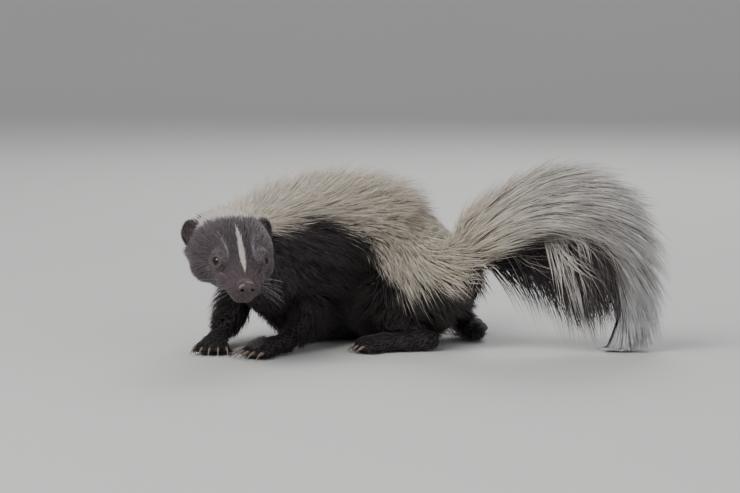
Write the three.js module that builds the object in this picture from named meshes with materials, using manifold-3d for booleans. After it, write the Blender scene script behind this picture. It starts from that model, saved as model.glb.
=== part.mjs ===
// A striped skunk lying curled in a crescent, head turned back to look out of the curl and the
// plumed tail arched over to the ground, as a life-size still model for a museum.
// Millimetres. +Z is up, the origin is on the ground under the middle of the belly, the curl
// opens towards -Y, the head is at -X and the tail sweeps out to +X.
import * as THREE from "three";
import { mergeVertices } from "three/addons/utils/BufferGeometryUtils.js";
import Module from "manifold-3d";

const wasm = await Module();
wasm.setup();

const v3 = (x, y, z) => new THREE.Vector3(x, y, z);
const UP = v3(0, 0, 1);

// Driving sizes
const GAP = 0.3; // between touching pieces
const SINK = 4; // depth of a lock's root in the core
const LOOK = 0.05; // share of a run over which its direction is smoothed
const SLIVER = 0.06; // faces thinner than this are closed up

// Trunk: section centre, then half sizes to the side, up and down, from nape to tail root.
const TRUNK = [
  { at: v3(-93, -113, 80), half: v3(25, 22, 24) },
  { at: v3(-86, -84, 74), half: v3(29, 31, 32) },
  { at: v3(-72, -51, 66), half: v3(35, 44, 46) },
  { at: v3(-52, -24, 59), half: v3(39, 54, 57) },
  { at: v3(-26, -4.5, 57), half: v3(42, 59, 58.5) },
  { at: v3(5, -1, 57), half: v3(43, 57, 59) },
  { at: v3(32, -13, 56), half: v3(42, 46, 57.5) },
  { at: v3(50, -33, 55), half: v3(37, 34, 53) },
  { at: v3(62, -50, 57), half: v3(27, 25, 36) },
  { at: v3(71, -62, 64), half: v3(17, 16, 18) },
];
const NECK_ENDS = 0.26; // shares of the way along the trunk
const CHEST_ENDS = 0.52;

// Tail: centre of the core, then its half sizes to the side, up (outer) and down (inner).
const TAIL = [
  { at: v3(70, -61, 66), half: v3(15, 15, 16) },
  { at: v3(84, -72, 82), half: v3(15, 16, 15) },
  { at: v3(104, -82, 97), half: v3(14, 16, 12) },
  { at: v3(128, -88, 105), half: v3(14, 16, 11) },
  { at: v3(152, -89, 102), half: v3(14, 14, 10) },
  { at: v3(172, -86, 86), half: v3(12, 11, 9) },
  { at: v3(184, -82, 63), half: v3(10, 9, 8) },
  { at: v3(188, -79, 40), half: v3(8, 7, 7) },
  { at: v3(185, -77, 20), half: v3(5, 4, 4) },
];
const TAIL_CUTS = [0, 0.33, 0.62, 1];

// Coat: the locks of each kind, and on the trunk how far their tips stand off it.
const COAT = {
  neck: { length: 28, width: 17, thick: 3.2, stand: 7 },
  back: { length: 54, width: 22, thick: 3.8, stand: 14 },
  plume: { length: 62, width: 20, thick: 4 },
  fringe: { length: 80, width: 19, thick: 4 },
};
const LOCK_STEPS = 3;
const SHARPEST_TURN = THREE.MathUtils.degToRad(42); // a lock that would bend more is left out
const TRUNK_COLUMNS = [-112, -88, -64, -42, -21, 0, 21, 42, 64, 88, 112]; // degrees from the spine
const TRUNK_PITCH = 26;
const PLUME_PITCH = 19;
const PLUME_COLUMNS = [7, 6, 5]; // by length of the tail

// Head: placed by its centre and the way it looks; sections run from nape to nose in its own
// frame, with +X to the nose, +Y to the animal's left and +Z to the crown.
const HEAD_CENTRE = v3(-94, -128, 80);
const HEAD_YAW = THREE.MathUtils.degToRad(15); // from -Y towards +X
const HEAD_DROP = THREE.MathUtils.degToRad(20); // nose below level
const SKULL = [
  { at: v3(-27, 0, 0), half: v3(14, 13, 13) },
  { at: v3(-20, 0, 1), half: v3(23, 20, 20) },
  { at: v3(-8, 0, 1), half: v3(30, 24, 25) },
  { at: v3(6, 0, 1), half: v3(31, 24.5, 26) },
  { at: v3(19, 0, 0), half: v3(26.5, 22.5, 23) },
  { at: v3(31, 0, -1), half: v3(19.5, 18, 18) },
  { at: v3(42, 0, -2.5), half: v3(14, 13, 13.5) },
  { at: v3(51, 0, -4), half: v3(11, 10, 10.5) },
  { at: v3(57, 0, -4.5), half: v3(7.5, 7, 7) },
];
const EYE = { at: v3(33.5, 15.3, 6.6), radius: 4.3 };
const LID = { radius: 4.0, thick: 1.1, stand: 1.9 };
const EAR = { at: v3(-9, 27, 8), width: 9, height: 10, thick: 3.6 };
const MUZZLE_PAD = { at: v3(57.5, 0, -1.5), half: v3(5, 6.4, 4.8) };
const NOSTRIL = { at: v3(61.6, 3.0, -1.4), half: v3(2.6, 1.5, 1.3) };
const MOUTH = [v3(31, 19.5, -9), v3(40, 15, -9.5), v3(49, 10, -9.5), v3(56.5, 4.5, -8.6)];
const MOUTH_GROOVE = 1.1;

// Legs: points from the trunk to the ankle with half sizes there, and the foot below.
const LEGS = {
  foreleg_left: {
    points: [v3(-48, -42, 50), v3(-41, -54, 30), v3(-45, -74, 17), v3(-59, -94, 10)],
    thick: [21, 16, 11.5, 9],
    wide: v3(0.75, -0.66, 0),
    foot: { heel: v3(-57, -92, 7.5), toes: v3(-76, -110, 6), width: 10.5, claw: 10 },
  },
  foreleg_right: {
    points: [v3(-80, -22, 50), v3(-94, -24, 30), v3(-101, -42, 18), v3(-106, -66, 11)],
    thick: [21, 16, 11.5, 9],
    wide: v3(0.75, -0.66, 0),
    foot: { heel: v3(-106, -65, 7.5), toes: v3(-109, -90, 6), width: 10.5, claw: 10 },
  },
  hindleg_left: {
    points: [v3(44, -38, 42), v3(27, -53, 33), v3(23, -62, 22), v3(38, -72, 13)],
    thick: [25, 20, 14, 9.5],
    wide: v3(-0.76, -0.65, 0),
    foot: { heel: v3(44, -73, 8), toes: v3(2, -80, 6), width: 10, claw: 7 },
  },
  hindleg_right: {
    points: [v3(58, -24, 42), v3(60, -5, 33), v3(66, 0, 22), v3(78, -12, 13)],
    thick: [25, 20, 14, 9.5],
    wide: v3(0.76, 0.65, 0),
    foot: { heel: v3(82, -18, 8), toes: v3(80, 24, 6), width: 10, claw: 7 },
  },
};
const TOES = 5;

// Finishes
const BLACK_FUR = new THREE.MeshStandardMaterial({ color: 0x16120f, roughness: 0.75 });
const WHITE_FUR = new THREE.MeshStandardMaterial({ color: 0xd8d2c2, roughness: 0.8 });
const EYE_BLACK = new THREE.MeshStandardMaterial({ color: 0x0b0807, roughness: 0.08 });
const NOSE_SKIN = new THREE.MeshStandardMaterial({ color: 0x4a3632, roughness: 0.5 });

// Closed geometry to solid and back
function solid(geometry) {
  const bare = geometry.clone();
  bare.deleteAttribute("normal");
  bare.deleteAttribute("uv");
  const merged = mergeVertices(bare, 1e-4);
  const mesh = new wasm.Mesh({
    numProp: 3,
    vertProperties: merged.attributes.position.array,
    triVerts: new Uint32Array(merged.index.array),
  });
  return new wasm.Manifold(mesh);
}

function geometryOf(body) {
  const mesh = body.getMesh();
  const geometry = new THREE.BufferGeometry();
  geometry.setAttribute("position", new THREE.BufferAttribute(mesh.vertProperties, 3));
  geometry.setIndex(new THREE.BufferAttribute(mesh.triVerts, 1));
  return geometry;
}

// The one body that is kept
const largest = (body) => body.decompose().sort((a, b) => b.volume() - a.volume())[0];

// Thin faces closed up, as long as that keeps the body inside the room it has
function withoutSlivers(body, room) {
  const clean = body.asOriginal().simplify(SLIVER);
  return clean.subtract(room).isEmpty() ? clean : body;
}

// A closed tube of rings: place(share, sideways, upwards) gives each point, and the middle of
// the two end rings where sideways and upwards are both 0.
function loft(around, rings, place) {
  const shape = new THREE.SphereGeometry(1, around, rings + 1);
  const at = shape.attributes.position;
  const p = v3();
  for (let i = 0; i < at.count; i++) {
    p.fromBufferAttribute(at, i);
    const row = Math.round((Math.acos(THREE.MathUtils.clamp(p.y, -1, 1)) / Math.PI) * (rings + 1));
    const middle = row === 0 || row === rings + 1;
    const share = THREE.MathUtils.clamp((row - 1) / (rings - 1), 0, 1);
    const spread = middle ? 0 : 1 / Math.hypot(p.x, p.z);
    at.setXYZ(i, ...place(share, p.x * spread, p.z * spread).toArray());
  }
  return shape;
}

// Centre line and half sizes that run smoothly through a list of stations
function runOf(stations, sideOf) {
  const line = new THREE.CatmullRomCurve3(stations.map((s) => s.at));
  const half = new THREE.CatmullRomCurve3(stations.map((s) => s.half));
  return {
    frame(share) {
      const behind = line.getPoint(Math.max(0, share - LOOK));
      const along = line.getPoint(Math.min(1, share + LOOK)).sub(behind).normalize();
      const side = sideOf(along).addScaledVector(along, -sideOf(along).dot(along)).normalize();
      return { centre: line.getPoint(share), along, side, up: along.clone().cross(side) };
    },
    // A point on the section at that share; lift stands it off the surface.
    point(share, sideways, upwards, lift = 0) {
      const f = this.frame(share);
      const h = half.getPoint(share);
      const tall = upwards > 0 ? h.y : h.z;
      const reach = Math.hypot(sideways, upwards) > 0 ? lift : 0;
      return f.centre
        .addScaledVector(f.side, sideways * (h.x + reach))
        .addScaledVector(f.up, upwards * (tall + reach));
    },
    length: line.getLength(),
  };
}

const trunk = runOf(TRUNK, (along) => UP.clone().cross(along));
const tail = runOf(TAIL, () => v3(0, 1, 0));
const skull = runOf(SKULL, () => v3(0, 1, 0));

// A stretch of a run as one closed solid, with its ends cut square. Grow swells it all round
// and moves its ends out, to cut the next piece clear of it.
function stretch(run, from, to, around, rings, grow) {
  const start = from > 0 && grow === 0 ? from + (1.4 * GAP) / run.length : from;
  return solid(
    loft(around, rings, (share, sideways, upwards) => {
      const at = start + (to - start) * share;
      const p = run.point(at, sideways, upwards, grow);
      const end = share === 0 ? -grow : share === 1 ? grow : 0;
      return p.addScaledVector(run.frame(at).along, end);
    }),
  );
}

// All that is above the ground
function aboveGround(body) {
  const room = new THREE.BoxGeometry(900, 900, 400).translate(0, 0, 200);
  return body.intersect(solid(room));
}

function ellipsoid(at, half, around = 12, rings = 8) {
  return solid(
    new THREE.SphereGeometry(1, around, rings)
      .scale(...half.toArray())
      .translate(...at.toArray()),
  );
}

const mirrored = (p, hand) => v3(p.x, p.y * hand, p.z);

// Head
function lidRing(hand) {
  const outward = v3(0.5, hand * 0.78, 0.36).normalize();
  const ring = new THREE.TorusGeometry(LID.radius, LID.thick, 5, 12);
  ring.applyQuaternion(new THREE.Quaternion().setFromUnitVectors(UP, outward));
  const at = mirrored(EYE.at, hand).addScaledVector(outward, LID.stand);
  return solid(ring.translate(...at.toArray()));
}

function mouthGroove() {
  const half = MOUTH.slice().reverse();
  const across = [...MOUTH, v3(58, 0, -8.2), ...half.map((p) => mirrored(p, -1))];
  const w = MOUTH_GROOVE;
  const corners = [[w, 0], [0, w], [-w, 0], [0, -w]];
  const section = new THREE.Shape(corners.map((p) => new THREE.Vector2(...p)));
  return solid(
    new THREE.ExtrudeGeometry(section, {
      steps: 20,
      extrudePath: new THREE.CatmullRomCurve3(across),
    }),
  );
}

function headSolid(grow) {
  const snoutRound = 2.5;
  const nape = v3(SKULL[0].at.x - 4, 0, 0);
  const shell = solid(
    loft(24, 20, (share, sideways, upwards) => {
      const p = skull.point(share, sideways, upwards, grow);
      const isMiddle = sideways === 0 && upwards === 0;
      if (isMiddle && share === 1) p.x += snoutRound + grow;
      if (isMiddle && share === 0) p.x = nape.x - grow;
      return p;
    }),
  );
  if (grow > 0) return shell;
  let head = shell;
  for (const hand of [1, -1]) {
    head = head.add(lidRing(hand));
    head = head.subtract(eyeBall(hand, GAP));
  }
  head = head.subtract(mouthGroove());
  return largest(head.subtract(nosePad(GAP)));
}

function eyeBall(hand, grow) {
  const r = EYE.radius + grow;
  return ellipsoid(mirrored(EYE.at, hand), v3(r, r, r), 12, 8);
}

function nosePad(grow) {
  const h = MUZZLE_PAD.half.clone().addScalar(grow);
  const pad = ellipsoid(MUZZLE_PAD.at, h, 12, 8);
  if (grow > 0) return pad;
  const holes = [1, -1].map((hand) => ellipsoid(mirrored(NOSTRIL.at, hand), NOSTRIL.half, 8, 6));
  return pad.subtract(holes[0]).subtract(holes[1]);
}

function ear(hand, grow) {
  const half = [EAR.thick, EAR.width, EAR.height];
  const shell = new THREE.SphereGeometry(1, 14, 8).scale(...half.map((h) => h + grow));
  const cup = new THREE.SphereGeometry(1, 12, 8)
    .scale(EAR.thick, EAR.width * 0.72, EAR.height * 0.74)
    .translate(EAR.thick * 0.75, 0, 1.2);
  const turn = new THREE.Euler(-hand * 0.5, -0.3, hand * 0.85, "ZYX");
  const lean = new THREE.Quaternion().setFromEuler(turn);
  const place = (g) => solid(g.applyQuaternion(lean).translate(...mirrored(EAR.at, hand).toArray()));
  if (grow > 0) return place(shell);
  return largest(place(shell).subtract(place(cup)).subtract(headSolid(GAP)));
}

const headFrame = new THREE.Group();
headFrame.position.copy(HEAD_CENTRE);
{
  const look = v3(
    Math.sin(HEAD_YAW) * Math.cos(HEAD_DROP),
    -Math.cos(HEAD_YAW) * Math.cos(HEAD_DROP),
    -Math.sin(HEAD_DROP),
  );
  const left = UP.clone().cross(look).normalize();
  const crown = look.clone().cross(left);
  headFrame.quaternion.setFromRotationMatrix(new THREE.Matrix4().makeBasis(look, left, crown));
}
headFrame.updateMatrixWorld(true);
const inWorld = (body) => solid(geometryOf(body).applyMatrix4(headFrame.matrixWorld));

// Feet
function foot({ heel, toes, width, claw }, grow) {
  const ahead = toes.clone().sub(heel).setZ(0).normalize();
  const across = UP.clone().cross(ahead);
  const run = runOf(
    [
      { at: heel.clone().addScaledVector(ahead, -5), half: v3(width * 0.55, 6, 6) },
      { at: heel, half: v3(width * 0.75, 7.5, 8) },
      { at: heel.clone().lerp(toes, 0.6), half: v3(width * 0.95, 7, 7) },
      { at: toes, half: v3(width, 5, 6) },
    ],
    () => across,
  );
  let sole = stretch(run, 0, 1, 8, 5, grow);
  for (let i = 0; i < TOES; i++) {
    const spread = (i - (TOES - 1) / 2) / ((TOES - 1) / 2);
    const root = toes.clone().addScaledVector(across, spread * width * 0.82);
    root.addScaledVector(ahead, -3 - 3 * spread * spread);
    const aim = ahead.clone().addScaledVector(across, spread * 0.28).normalize();
    sole = sole.add(toe(root, aim, grow)).add(clawOf(root, aim, claw, grow));
  }
  return largest(aboveGround(sole));
}

function toe(root, aim, grow) {
  const length = 11;
  const digit = new THREE.SphereGeometry(1, 6, 4)
    .scale(length + grow, 3.4 + grow, 4 + grow)
    .rotateZ(Math.atan2(aim.y, aim.x));
  return solid(digit.translate(root.x + aim.x * 3, root.y + aim.y * 3, 3.6));
}

function clawOf(root, aim, length, grow) {
  const start = root.clone().addScaledVector(aim, 11).setZ(4.6);
  const run = new THREE.QuadraticBezierCurve3(
    start,
    start.clone().addScaledVector(aim, length * 0.6).setZ(5.4),
    start.clone().addScaledVector(aim, length).setZ(1.2),
  );
  const shape = new THREE.ConeGeometry(1, 1, 4, 3);
  return solid(
    alongPath(shape, (share) => run.getPoint(share), () => UP, (share) => {
      const size = (1 - share) ** 0.7;
      return { wide: 1.5 * size + grow, deep: 1.9 * size + grow };
    }),
  );
}

// Moves a cone's rings onto a path, with a width across it and a depth towards normalAt
function alongPath(shape, pathAt, normalAt, sizeAt) {
  const at = shape.attributes.position;
  const p = v3();
  for (let i = 0; i < at.count; i++) {
    p.fromBufferAttribute(at, i);
    const share = THREE.MathUtils.clamp(p.y + 0.5, 0, 1);
    const radius = Math.hypot(p.x, p.z);
    const spread = radius > 1e-6 ? 1 / radius : 0;
    const ahead = pathAt(Math.min(1, share + 0.02)).sub(pathAt(Math.max(0, share - 0.02)));
    const across = ahead.clone().cross(normalAt(share)).normalize();
    const off = across.clone().cross(ahead).normalize();
    const size = sizeAt(share);
    const place = pathAt(share)
      .addScaledVector(across, p.x * spread * size.wide)
      .addScaledVector(off, p.z * spread * size.deep);
    at.setXYZ(i, ...place.toArray());
  }
  return shape;
}

// Hair. A lock is its centre line and the way it faces at each of its steps.
const DOWN = v3(0, 0, -1);
const chance = (spread) => 1 + (THREE.MathUtils.seededRandom() - 0.5) * 2 * spread;
THREE.MathUtils.seededRandom(18);

const facing = (f, angle) => f.side.clone().multiplyScalar(Math.sin(angle))
  .addScaledVector(f.up, Math.cos(angle));

// How far out a point must move to lie over the legs
function standOverLimbs(at, out, room) {
  let move = 0;
  for (const { points, thick } of Object.values(LEGS)) {
    points.slice(0, 3).forEach((centre, i) => {
      const reach = thick[i] + room;
      const ahead = centre.clone().sub(at).dot(out);
      const aside = centre.clone().sub(at).addScaledVector(out, -ahead).length();
      if (aside < reach) move = Math.max(move, ahead + Math.sqrt(reach ** 2 - aside ** 2));
    });
  }
  return move;
}

// A lock that lies along the surface of a run, combed to its far end and sagging by its weight
function combedLock(run, share, angle, kind, sag) {
  const length = kind.length * chance(0.12);
  const stand = kind.stand * chance(0.2);
  const lock = { share, path: [], outs: [], kind };
  const small = 0.01;
  for (let step = 0; step <= LOCK_STEPS; step++) {
    const s = Math.min(share, 1);
    const f = run.frame(s);
    const out = facing(f, angle);
    const on = (ds, da, lift) =>
      run.point(s + ds, Math.sin(angle + da), Math.cos(angle + da), lift);
    const lift = -SINK + (stand + SINK) * (step / LOCK_STEPS);
    const beyond = (share - s) * run.length;
    const at = on(0, 0, lift).addScaledVector(f.along, beyond);
    const drape = step > 0 ? standOverLimbs(at, out, kind.thick) : 0;
    lock.path.push(at.addScaledVector(out, drape));
    lock.outs.push(out);
    const here = on(0, 0, 0);
    const perShare = here.clone().sub(on(-small, 0, 0)).divideScalar(small);
    const perAngle = on(0, small, 0).sub(here).divideScalar(small);
    const want = f.along.clone().multiplyScalar(1 - sag).addScaledVector(DOWN, sag);
    want.addScaledVector(out, -want.dot(out)).setLength(length / LOCK_STEPS);
    const [a, b, c] = [perShare.dot(perShare), perShare.dot(perAngle), perAngle.dot(perAngle)];
    const [p, q] = [perShare.dot(want), perAngle.dot(want)];
    share += (p * c - q * b) / (a * c - b * b);
    angle += (q * a - p * b) / (a * c - b * b);
  }
  return lock;
}

// Rows of locks over a run: each column is walked from start to end, and a lock set every pitch
function combed(run, { columns, from, to, pitch, kindAt, sagAt }) {
  const locks = [];
  columns.forEach((degrees, column) => {
    const angle = THREE.MathUtils.degToRad(degrees);
    let walked = pitch * (column % 2 ? 0.5 : 0);
    let last = run.point(from, Math.sin(angle), Math.cos(angle));
    for (let share = from; share <= to; share += 0.005) {
      const here = run.point(share, Math.sin(angle), Math.cos(angle));
      walked += here.distanceTo(last);
      last = here;
      if (walked < pitch) continue;
      walked -= pitch;
      locks.push(combedLock(run, share, angle * chance(0.04), kindAt(share), sagAt(degrees)));
    }
  });
  return locks;
}

// A lock of the plume: it leaves the tail at a lean, falls by its weight and follows the bend,
// and on the underside it is a longer lock of the fringe, which hangs.
function plumeLock(share, angle) {
  const f = tail.frame(share);
  const out = facing(f, angle);
  const under = THREE.MathUtils.clamp(out.dot(DOWN), 0, 1);
  const hangs = under > 0.5;
  const kind = hangs ? COAT.fringe : COAT.plume;
  const length = kind.length * chance(0.12) * (share < 0.1 ? 0.8 : 1);
  const lean = THREE.MathUtils.degToRad(38 + 16 * under - 16 * share) * chance(0.15);
  const heading = f.along.clone().multiplyScalar(Math.cos(lean));
  heading.addScaledVector(out, Math.sin(lean));
  const at = tail.point(share, Math.sin(angle), Math.cos(angle)).addScaledVector(out, -SINK);
  const lock = { share, path: [], outs: [], kind };
  for (let step = 0; step <= LOCK_STEPS; step++) {
    const ahead = Math.min(1, share + (step / LOCK_STEPS) * 0.22);
    at.z = Math.max(at.z, kind.thick * 0.5);
    lock.path.push(at.clone());
    lock.outs.push(out.clone().addScaledVector(heading, -out.dot(heading)).normalize());
    heading.addScaledVector(DOWN, (hangs ? 0.45 : 0.12) + 0.1 * step);
    heading.addScaledVector(tail.frame(ahead).along, hangs ? 0.1 : 0.3);
    heading.normalize();
    at.addScaledVector(heading, length / LOCK_STEPS);
  }
  return lock;
}

function bendsGently({ path }) {
  const steps = path.slice(1).map((p, i) => p.clone().sub(path[i]));
  return steps.slice(1).every((step, i) => step.angleTo(steps[i]) < SHARPEST_TURN);
}

// The lock as a flat tapered solid. A lock twists, so it grows by more than a plain form does,
// and its thin tip moves on by the most.
function lockSolid({ path, outs, kind }, grow) {
  const room = 1.7 * grow;
  const away = (from, to, far) => to.clone().sub(from).setLength(far).add(to);
  const root = away(path[1], path[0], room);
  const tip = away(path.at(-2), path.at(-1), 8 * room);
  const line = [root, ...path.slice(1, -1), tip];
  const along = new THREE.CatmullRomCurve3(line);
  const faces = new THREE.CatmullRomCurve3(outs);
  const shape = new THREE.ConeGeometry(1, 1, 4, LOCK_STEPS);
  return solid(
    alongPath(shape, (share) => along.getPoint(share), (share) => faces.getPoint(share).normalize(),
      (share) => ({
        wide: kind.width * 0.5 * Math.sqrt(1 - share ** 2) * Math.min(1, 0.75 + share * 0.75) + room,
        deep: kind.thick * 0.5 * (1 - 0.55 * share) + room,
      })),
  );
}

const trunkLocks = combed(trunk, {
  columns: TRUNK_COLUMNS,
  from: 0.02,
  to: 0.9,
  pitch: TRUNK_PITCH,
  kindAt: (share) => (share < 0.22 ? COAT.neck : COAT.back),
  sagAt: (degrees) => 0.15 + 0.5 * Math.abs(Math.sin(THREE.MathUtils.degToRad(degrees))),
}).filter(bendsGently);

let plumeLocks = [];
for (let row = 0; row * PLUME_PITCH < tail.length * 0.84; row++) {
  const share = 0.05 + (row * PLUME_PITCH) / tail.length;
  const columns = PLUME_COLUMNS[TAIL_CUTS.findIndex((cut) => cut > share) - 1];
  for (let i = 0; i < columns; i++) {
    plumeLocks.push(plumeLock(share, ((i + (row % 2) / 2) / columns) * Math.PI * 2));
  }
}
plumeLocks = plumeLocks.filter(bendsGently);

function withLocks(core, locks, from, to, grow) {
  const own = locks.filter((lock) => lock.share >= from && lock.share < to);
  return own.reduce((body, lock) => body.add(lockSolid(lock, grow)), core);
}

// Trunk, tail and legs, in pieces that touch end to end
function trunkPart(from, to, rings, grow) {
  return withLocks(stretch(trunk, from, to, 18, rings, grow), trunkLocks, from, to, grow);
}
const neck = (grow) => trunkPart(0, NECK_ENDS, 6, grow);
const chest = (grow) => trunkPart(NECK_ENDS, CHEST_ENDS, 7, grow);
const rump = (grow) => trunkPart(CHEST_ENDS, 1, 10, grow);
function tailPart(i, grow) {
  const [from, to] = [TAIL_CUTS[i], TAIL_CUTS[i + 1]];
  return withLocks(stretch(tail, from, to, 8, 6, grow), plumeLocks, from, to, grow);
}
function limb({ points, thick, wide }, grow) {
  const stations = points.map((at, i) => ({ at, half: v3(thick[i] * 0.8, thick[i], thick[i]) }));
  const run = runOf(stations, () => wide);
  return stretch(run, 0, 1, 10, 7, grow);
}

const skunk = new THREE.Group();
function addPiece(name, body, material, parent = skunk) {
  const mesh = new THREE.Mesh(geometryOf(body), material);
  mesh.name = name;
  parent.add(mesh);
}

addPiece("head", headSolid(0), BLACK_FUR, headFrame);
addPiece("nose", largest(nosePad(0)), NOSE_SKIN, headFrame);
for (const [hand, word] of [[1, "left"], [-1, "right"]]) {
  addPiece("eye_" + word, eyeBall(hand, 0), EYE_BLACK, headFrame);
  addPiece("ear_" + word, ear(hand, 0), BLACK_FUR, headFrame);
}
skunk.add(headFrame);

// Each further piece is cut clear of those before it.
const built = [inWorld(headSolid(GAP))];
for (const hand of [1, -1]) built.push(inWorld(ear(hand, GAP)));
function addCut(name, make, material) {
  const room = make(GAP);
  let body = withoutSlivers(make(0), room);
  for (const other of built) body = body.subtract(other);
  addPiece(name, largest(aboveGround(body)), material);
  built.push(room);
}
for (const [name, leg] of Object.entries(LEGS)) {
  addCut(name.replace("leg", "foot"), (grow) => foot(leg.foot, grow), BLACK_FUR);
}
addCut("neck", neck, WHITE_FUR);
addCut("chest", chest, WHITE_FUR);
addCut("rump", rump, WHITE_FUR);
for (const [name, leg] of Object.entries(LEGS)) {
  addCut(name, (grow) => limb(leg, grow), BLACK_FUR);
}
["tail_base", "tail_middle", "tail_end"].forEach((name, i) => {
  addCut(name, (grow) => tailPart(i, grow), WHITE_FUR);
});

export default skunk;
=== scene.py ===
"""A striped skunk lying curled, as a life-size still model: its skin, coat, eyes, nose and claws."""

import math

import bpy
import numpy as np
from bpy.props import FloatProperty, FloatVectorProperty, IntProperty, PointerProperty
from mathutils import Euler, Matrix, Vector
from mathutils.bvhtree import BVHTree
from mathutils.kdtree import KDTree


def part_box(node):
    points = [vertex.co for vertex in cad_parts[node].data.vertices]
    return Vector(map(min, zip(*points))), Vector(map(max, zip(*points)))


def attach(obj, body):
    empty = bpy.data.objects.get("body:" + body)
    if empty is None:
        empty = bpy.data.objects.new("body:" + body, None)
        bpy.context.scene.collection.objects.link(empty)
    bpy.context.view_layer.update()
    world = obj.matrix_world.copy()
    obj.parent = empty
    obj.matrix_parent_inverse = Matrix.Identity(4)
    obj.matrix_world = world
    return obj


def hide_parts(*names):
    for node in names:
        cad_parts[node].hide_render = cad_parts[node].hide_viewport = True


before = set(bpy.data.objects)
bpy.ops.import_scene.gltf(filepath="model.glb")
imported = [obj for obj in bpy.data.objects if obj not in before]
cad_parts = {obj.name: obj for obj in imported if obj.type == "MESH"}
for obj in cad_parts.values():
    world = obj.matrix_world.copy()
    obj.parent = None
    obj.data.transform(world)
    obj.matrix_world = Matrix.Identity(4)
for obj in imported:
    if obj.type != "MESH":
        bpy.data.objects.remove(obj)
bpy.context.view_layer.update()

bl_info = {
    "name": "Striped skunk",
    "version": (1, 0, 0),
    "blender": (4, 5, 0),
    "location": "View3D > Sidebar > Skunk",
    "description": "Dresses the packed skunk in skin, coat, eyes, nose, claws and whiskers",
    "category": "Object",
}

BODY = "root"
SEED = 7

# Trunk from nape to tail root, and tail: place, then half sizes to the side, up and down
TRUNK = (
    (-0.093, -0.113, 0.080, 0.025, 0.022, 0.024),
    (-0.086, -0.084, 0.074, 0.029, 0.031, 0.032),
    (-0.072, -0.051, 0.066, 0.035, 0.044, 0.046),
    (-0.052, -0.024, 0.059, 0.039, 0.054, 0.057),
    (-0.026, -0.0045, 0.057, 0.042, 0.059, 0.0565),
    (0.005, -0.001, 0.057, 0.043, 0.057, 0.0565),
    (0.032, -0.013, 0.056, 0.042, 0.046, 0.0555),
    (0.050, -0.033, 0.055, 0.037, 0.034, 0.053),
    (0.062, -0.050, 0.057, 0.027, 0.025, 0.036),
    (0.071, -0.062, 0.064, 0.017, 0.016, 0.018),
)
TAIL = (
    (0.070, -0.061, 0.066, 0.015, 0.015, 0.016),
    (0.084, -0.072, 0.082, 0.015, 0.016, 0.015),
    (0.104, -0.082, 0.097, 0.014, 0.016, 0.012),
    (0.128, -0.088, 0.105, 0.014, 0.016, 0.011),
    (0.152, -0.089, 0.102, 0.014, 0.014, 0.010),
    (0.172, -0.086, 0.086, 0.012, 0.011, 0.009),
    (0.184, -0.082, 0.063, 0.010, 0.009, 0.008),
    (0.188, -0.079, 0.040, 0.008, 0.007, 0.007),
    (0.185, -0.077, 0.020, 0.005, 0.004, 0.004),
)

# Legs from trunk to ankle, each point with its half thickness, then the foot's heel and toes
LEGS = {
    "foreleg_left": {
        "points": (
            (-0.048, -0.042, 0.050, 0.021),
            (-0.041, -0.054, 0.030, 0.016),
            (-0.045, -0.074, 0.017, 0.0115),
            (-0.059, -0.094, 0.010, 0.009),
        ),
        "heel": (-0.057, -0.092, 0.0075),
        "toes": (-0.076, -0.110, 0.006),
        "claw": 0.010,
    },
    "foreleg_right": {
        "points": (
            (-0.080, -0.022, 0.050, 0.021),
            (-0.094, -0.024, 0.030, 0.016),
            (-0.101, -0.042, 0.018, 0.0115),
            (-0.106, -0.066, 0.011, 0.009),
        ),
        "heel": (-0.106, -0.065, 0.0075),
        "toes": (-0.109, -0.090, 0.006),
        "claw": 0.010,
    },
    "hindleg_left": {
        "points": (
            (0.044, -0.038, 0.042, 0.025),
            (0.027, -0.053, 0.033, 0.020),
            (0.023, -0.062, 0.022, 0.014),
            (0.038, -0.072, 0.013, 0.0095),
        ),
        "heel": (0.044, -0.073, 0.008),
        "toes": (0.002, -0.080, 0.006),
        "claw": 0.007,
    },
    "hindleg_right": {
        "points": (
            (0.058, -0.024, 0.042, 0.025),
            (0.060, -0.005, 0.033, 0.020),
            (0.066, 0.000, 0.022, 0.014),
            (0.078, -0.012, 0.013, 0.0095),
        ),
        "heel": (0.082, -0.018, 0.008),
        "toes": (0.080, 0.024, 0.006),
        "claw": 0.007,
    },
}
TOES = 5
FOOT_WIDTH = 0.0102
TOE_HALF = (0.0108, 0.0029, 0.0034)
SOLE_FORMS = ((0, 0.72, 0.0075), (0.35, 0.8, 0.007), (0.7, 0.92, 0.0066), (0.95, 0.95, 0.0056))
CLAW_ROOT = 0.010  # from the root of a toe to the root of its claw
SKIN_UNDER_TAIL_HAIR = 0.0045
SKIN_UNDER_LEG_HAIR = 0.003
BODY_VOXEL = 0.0019

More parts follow.
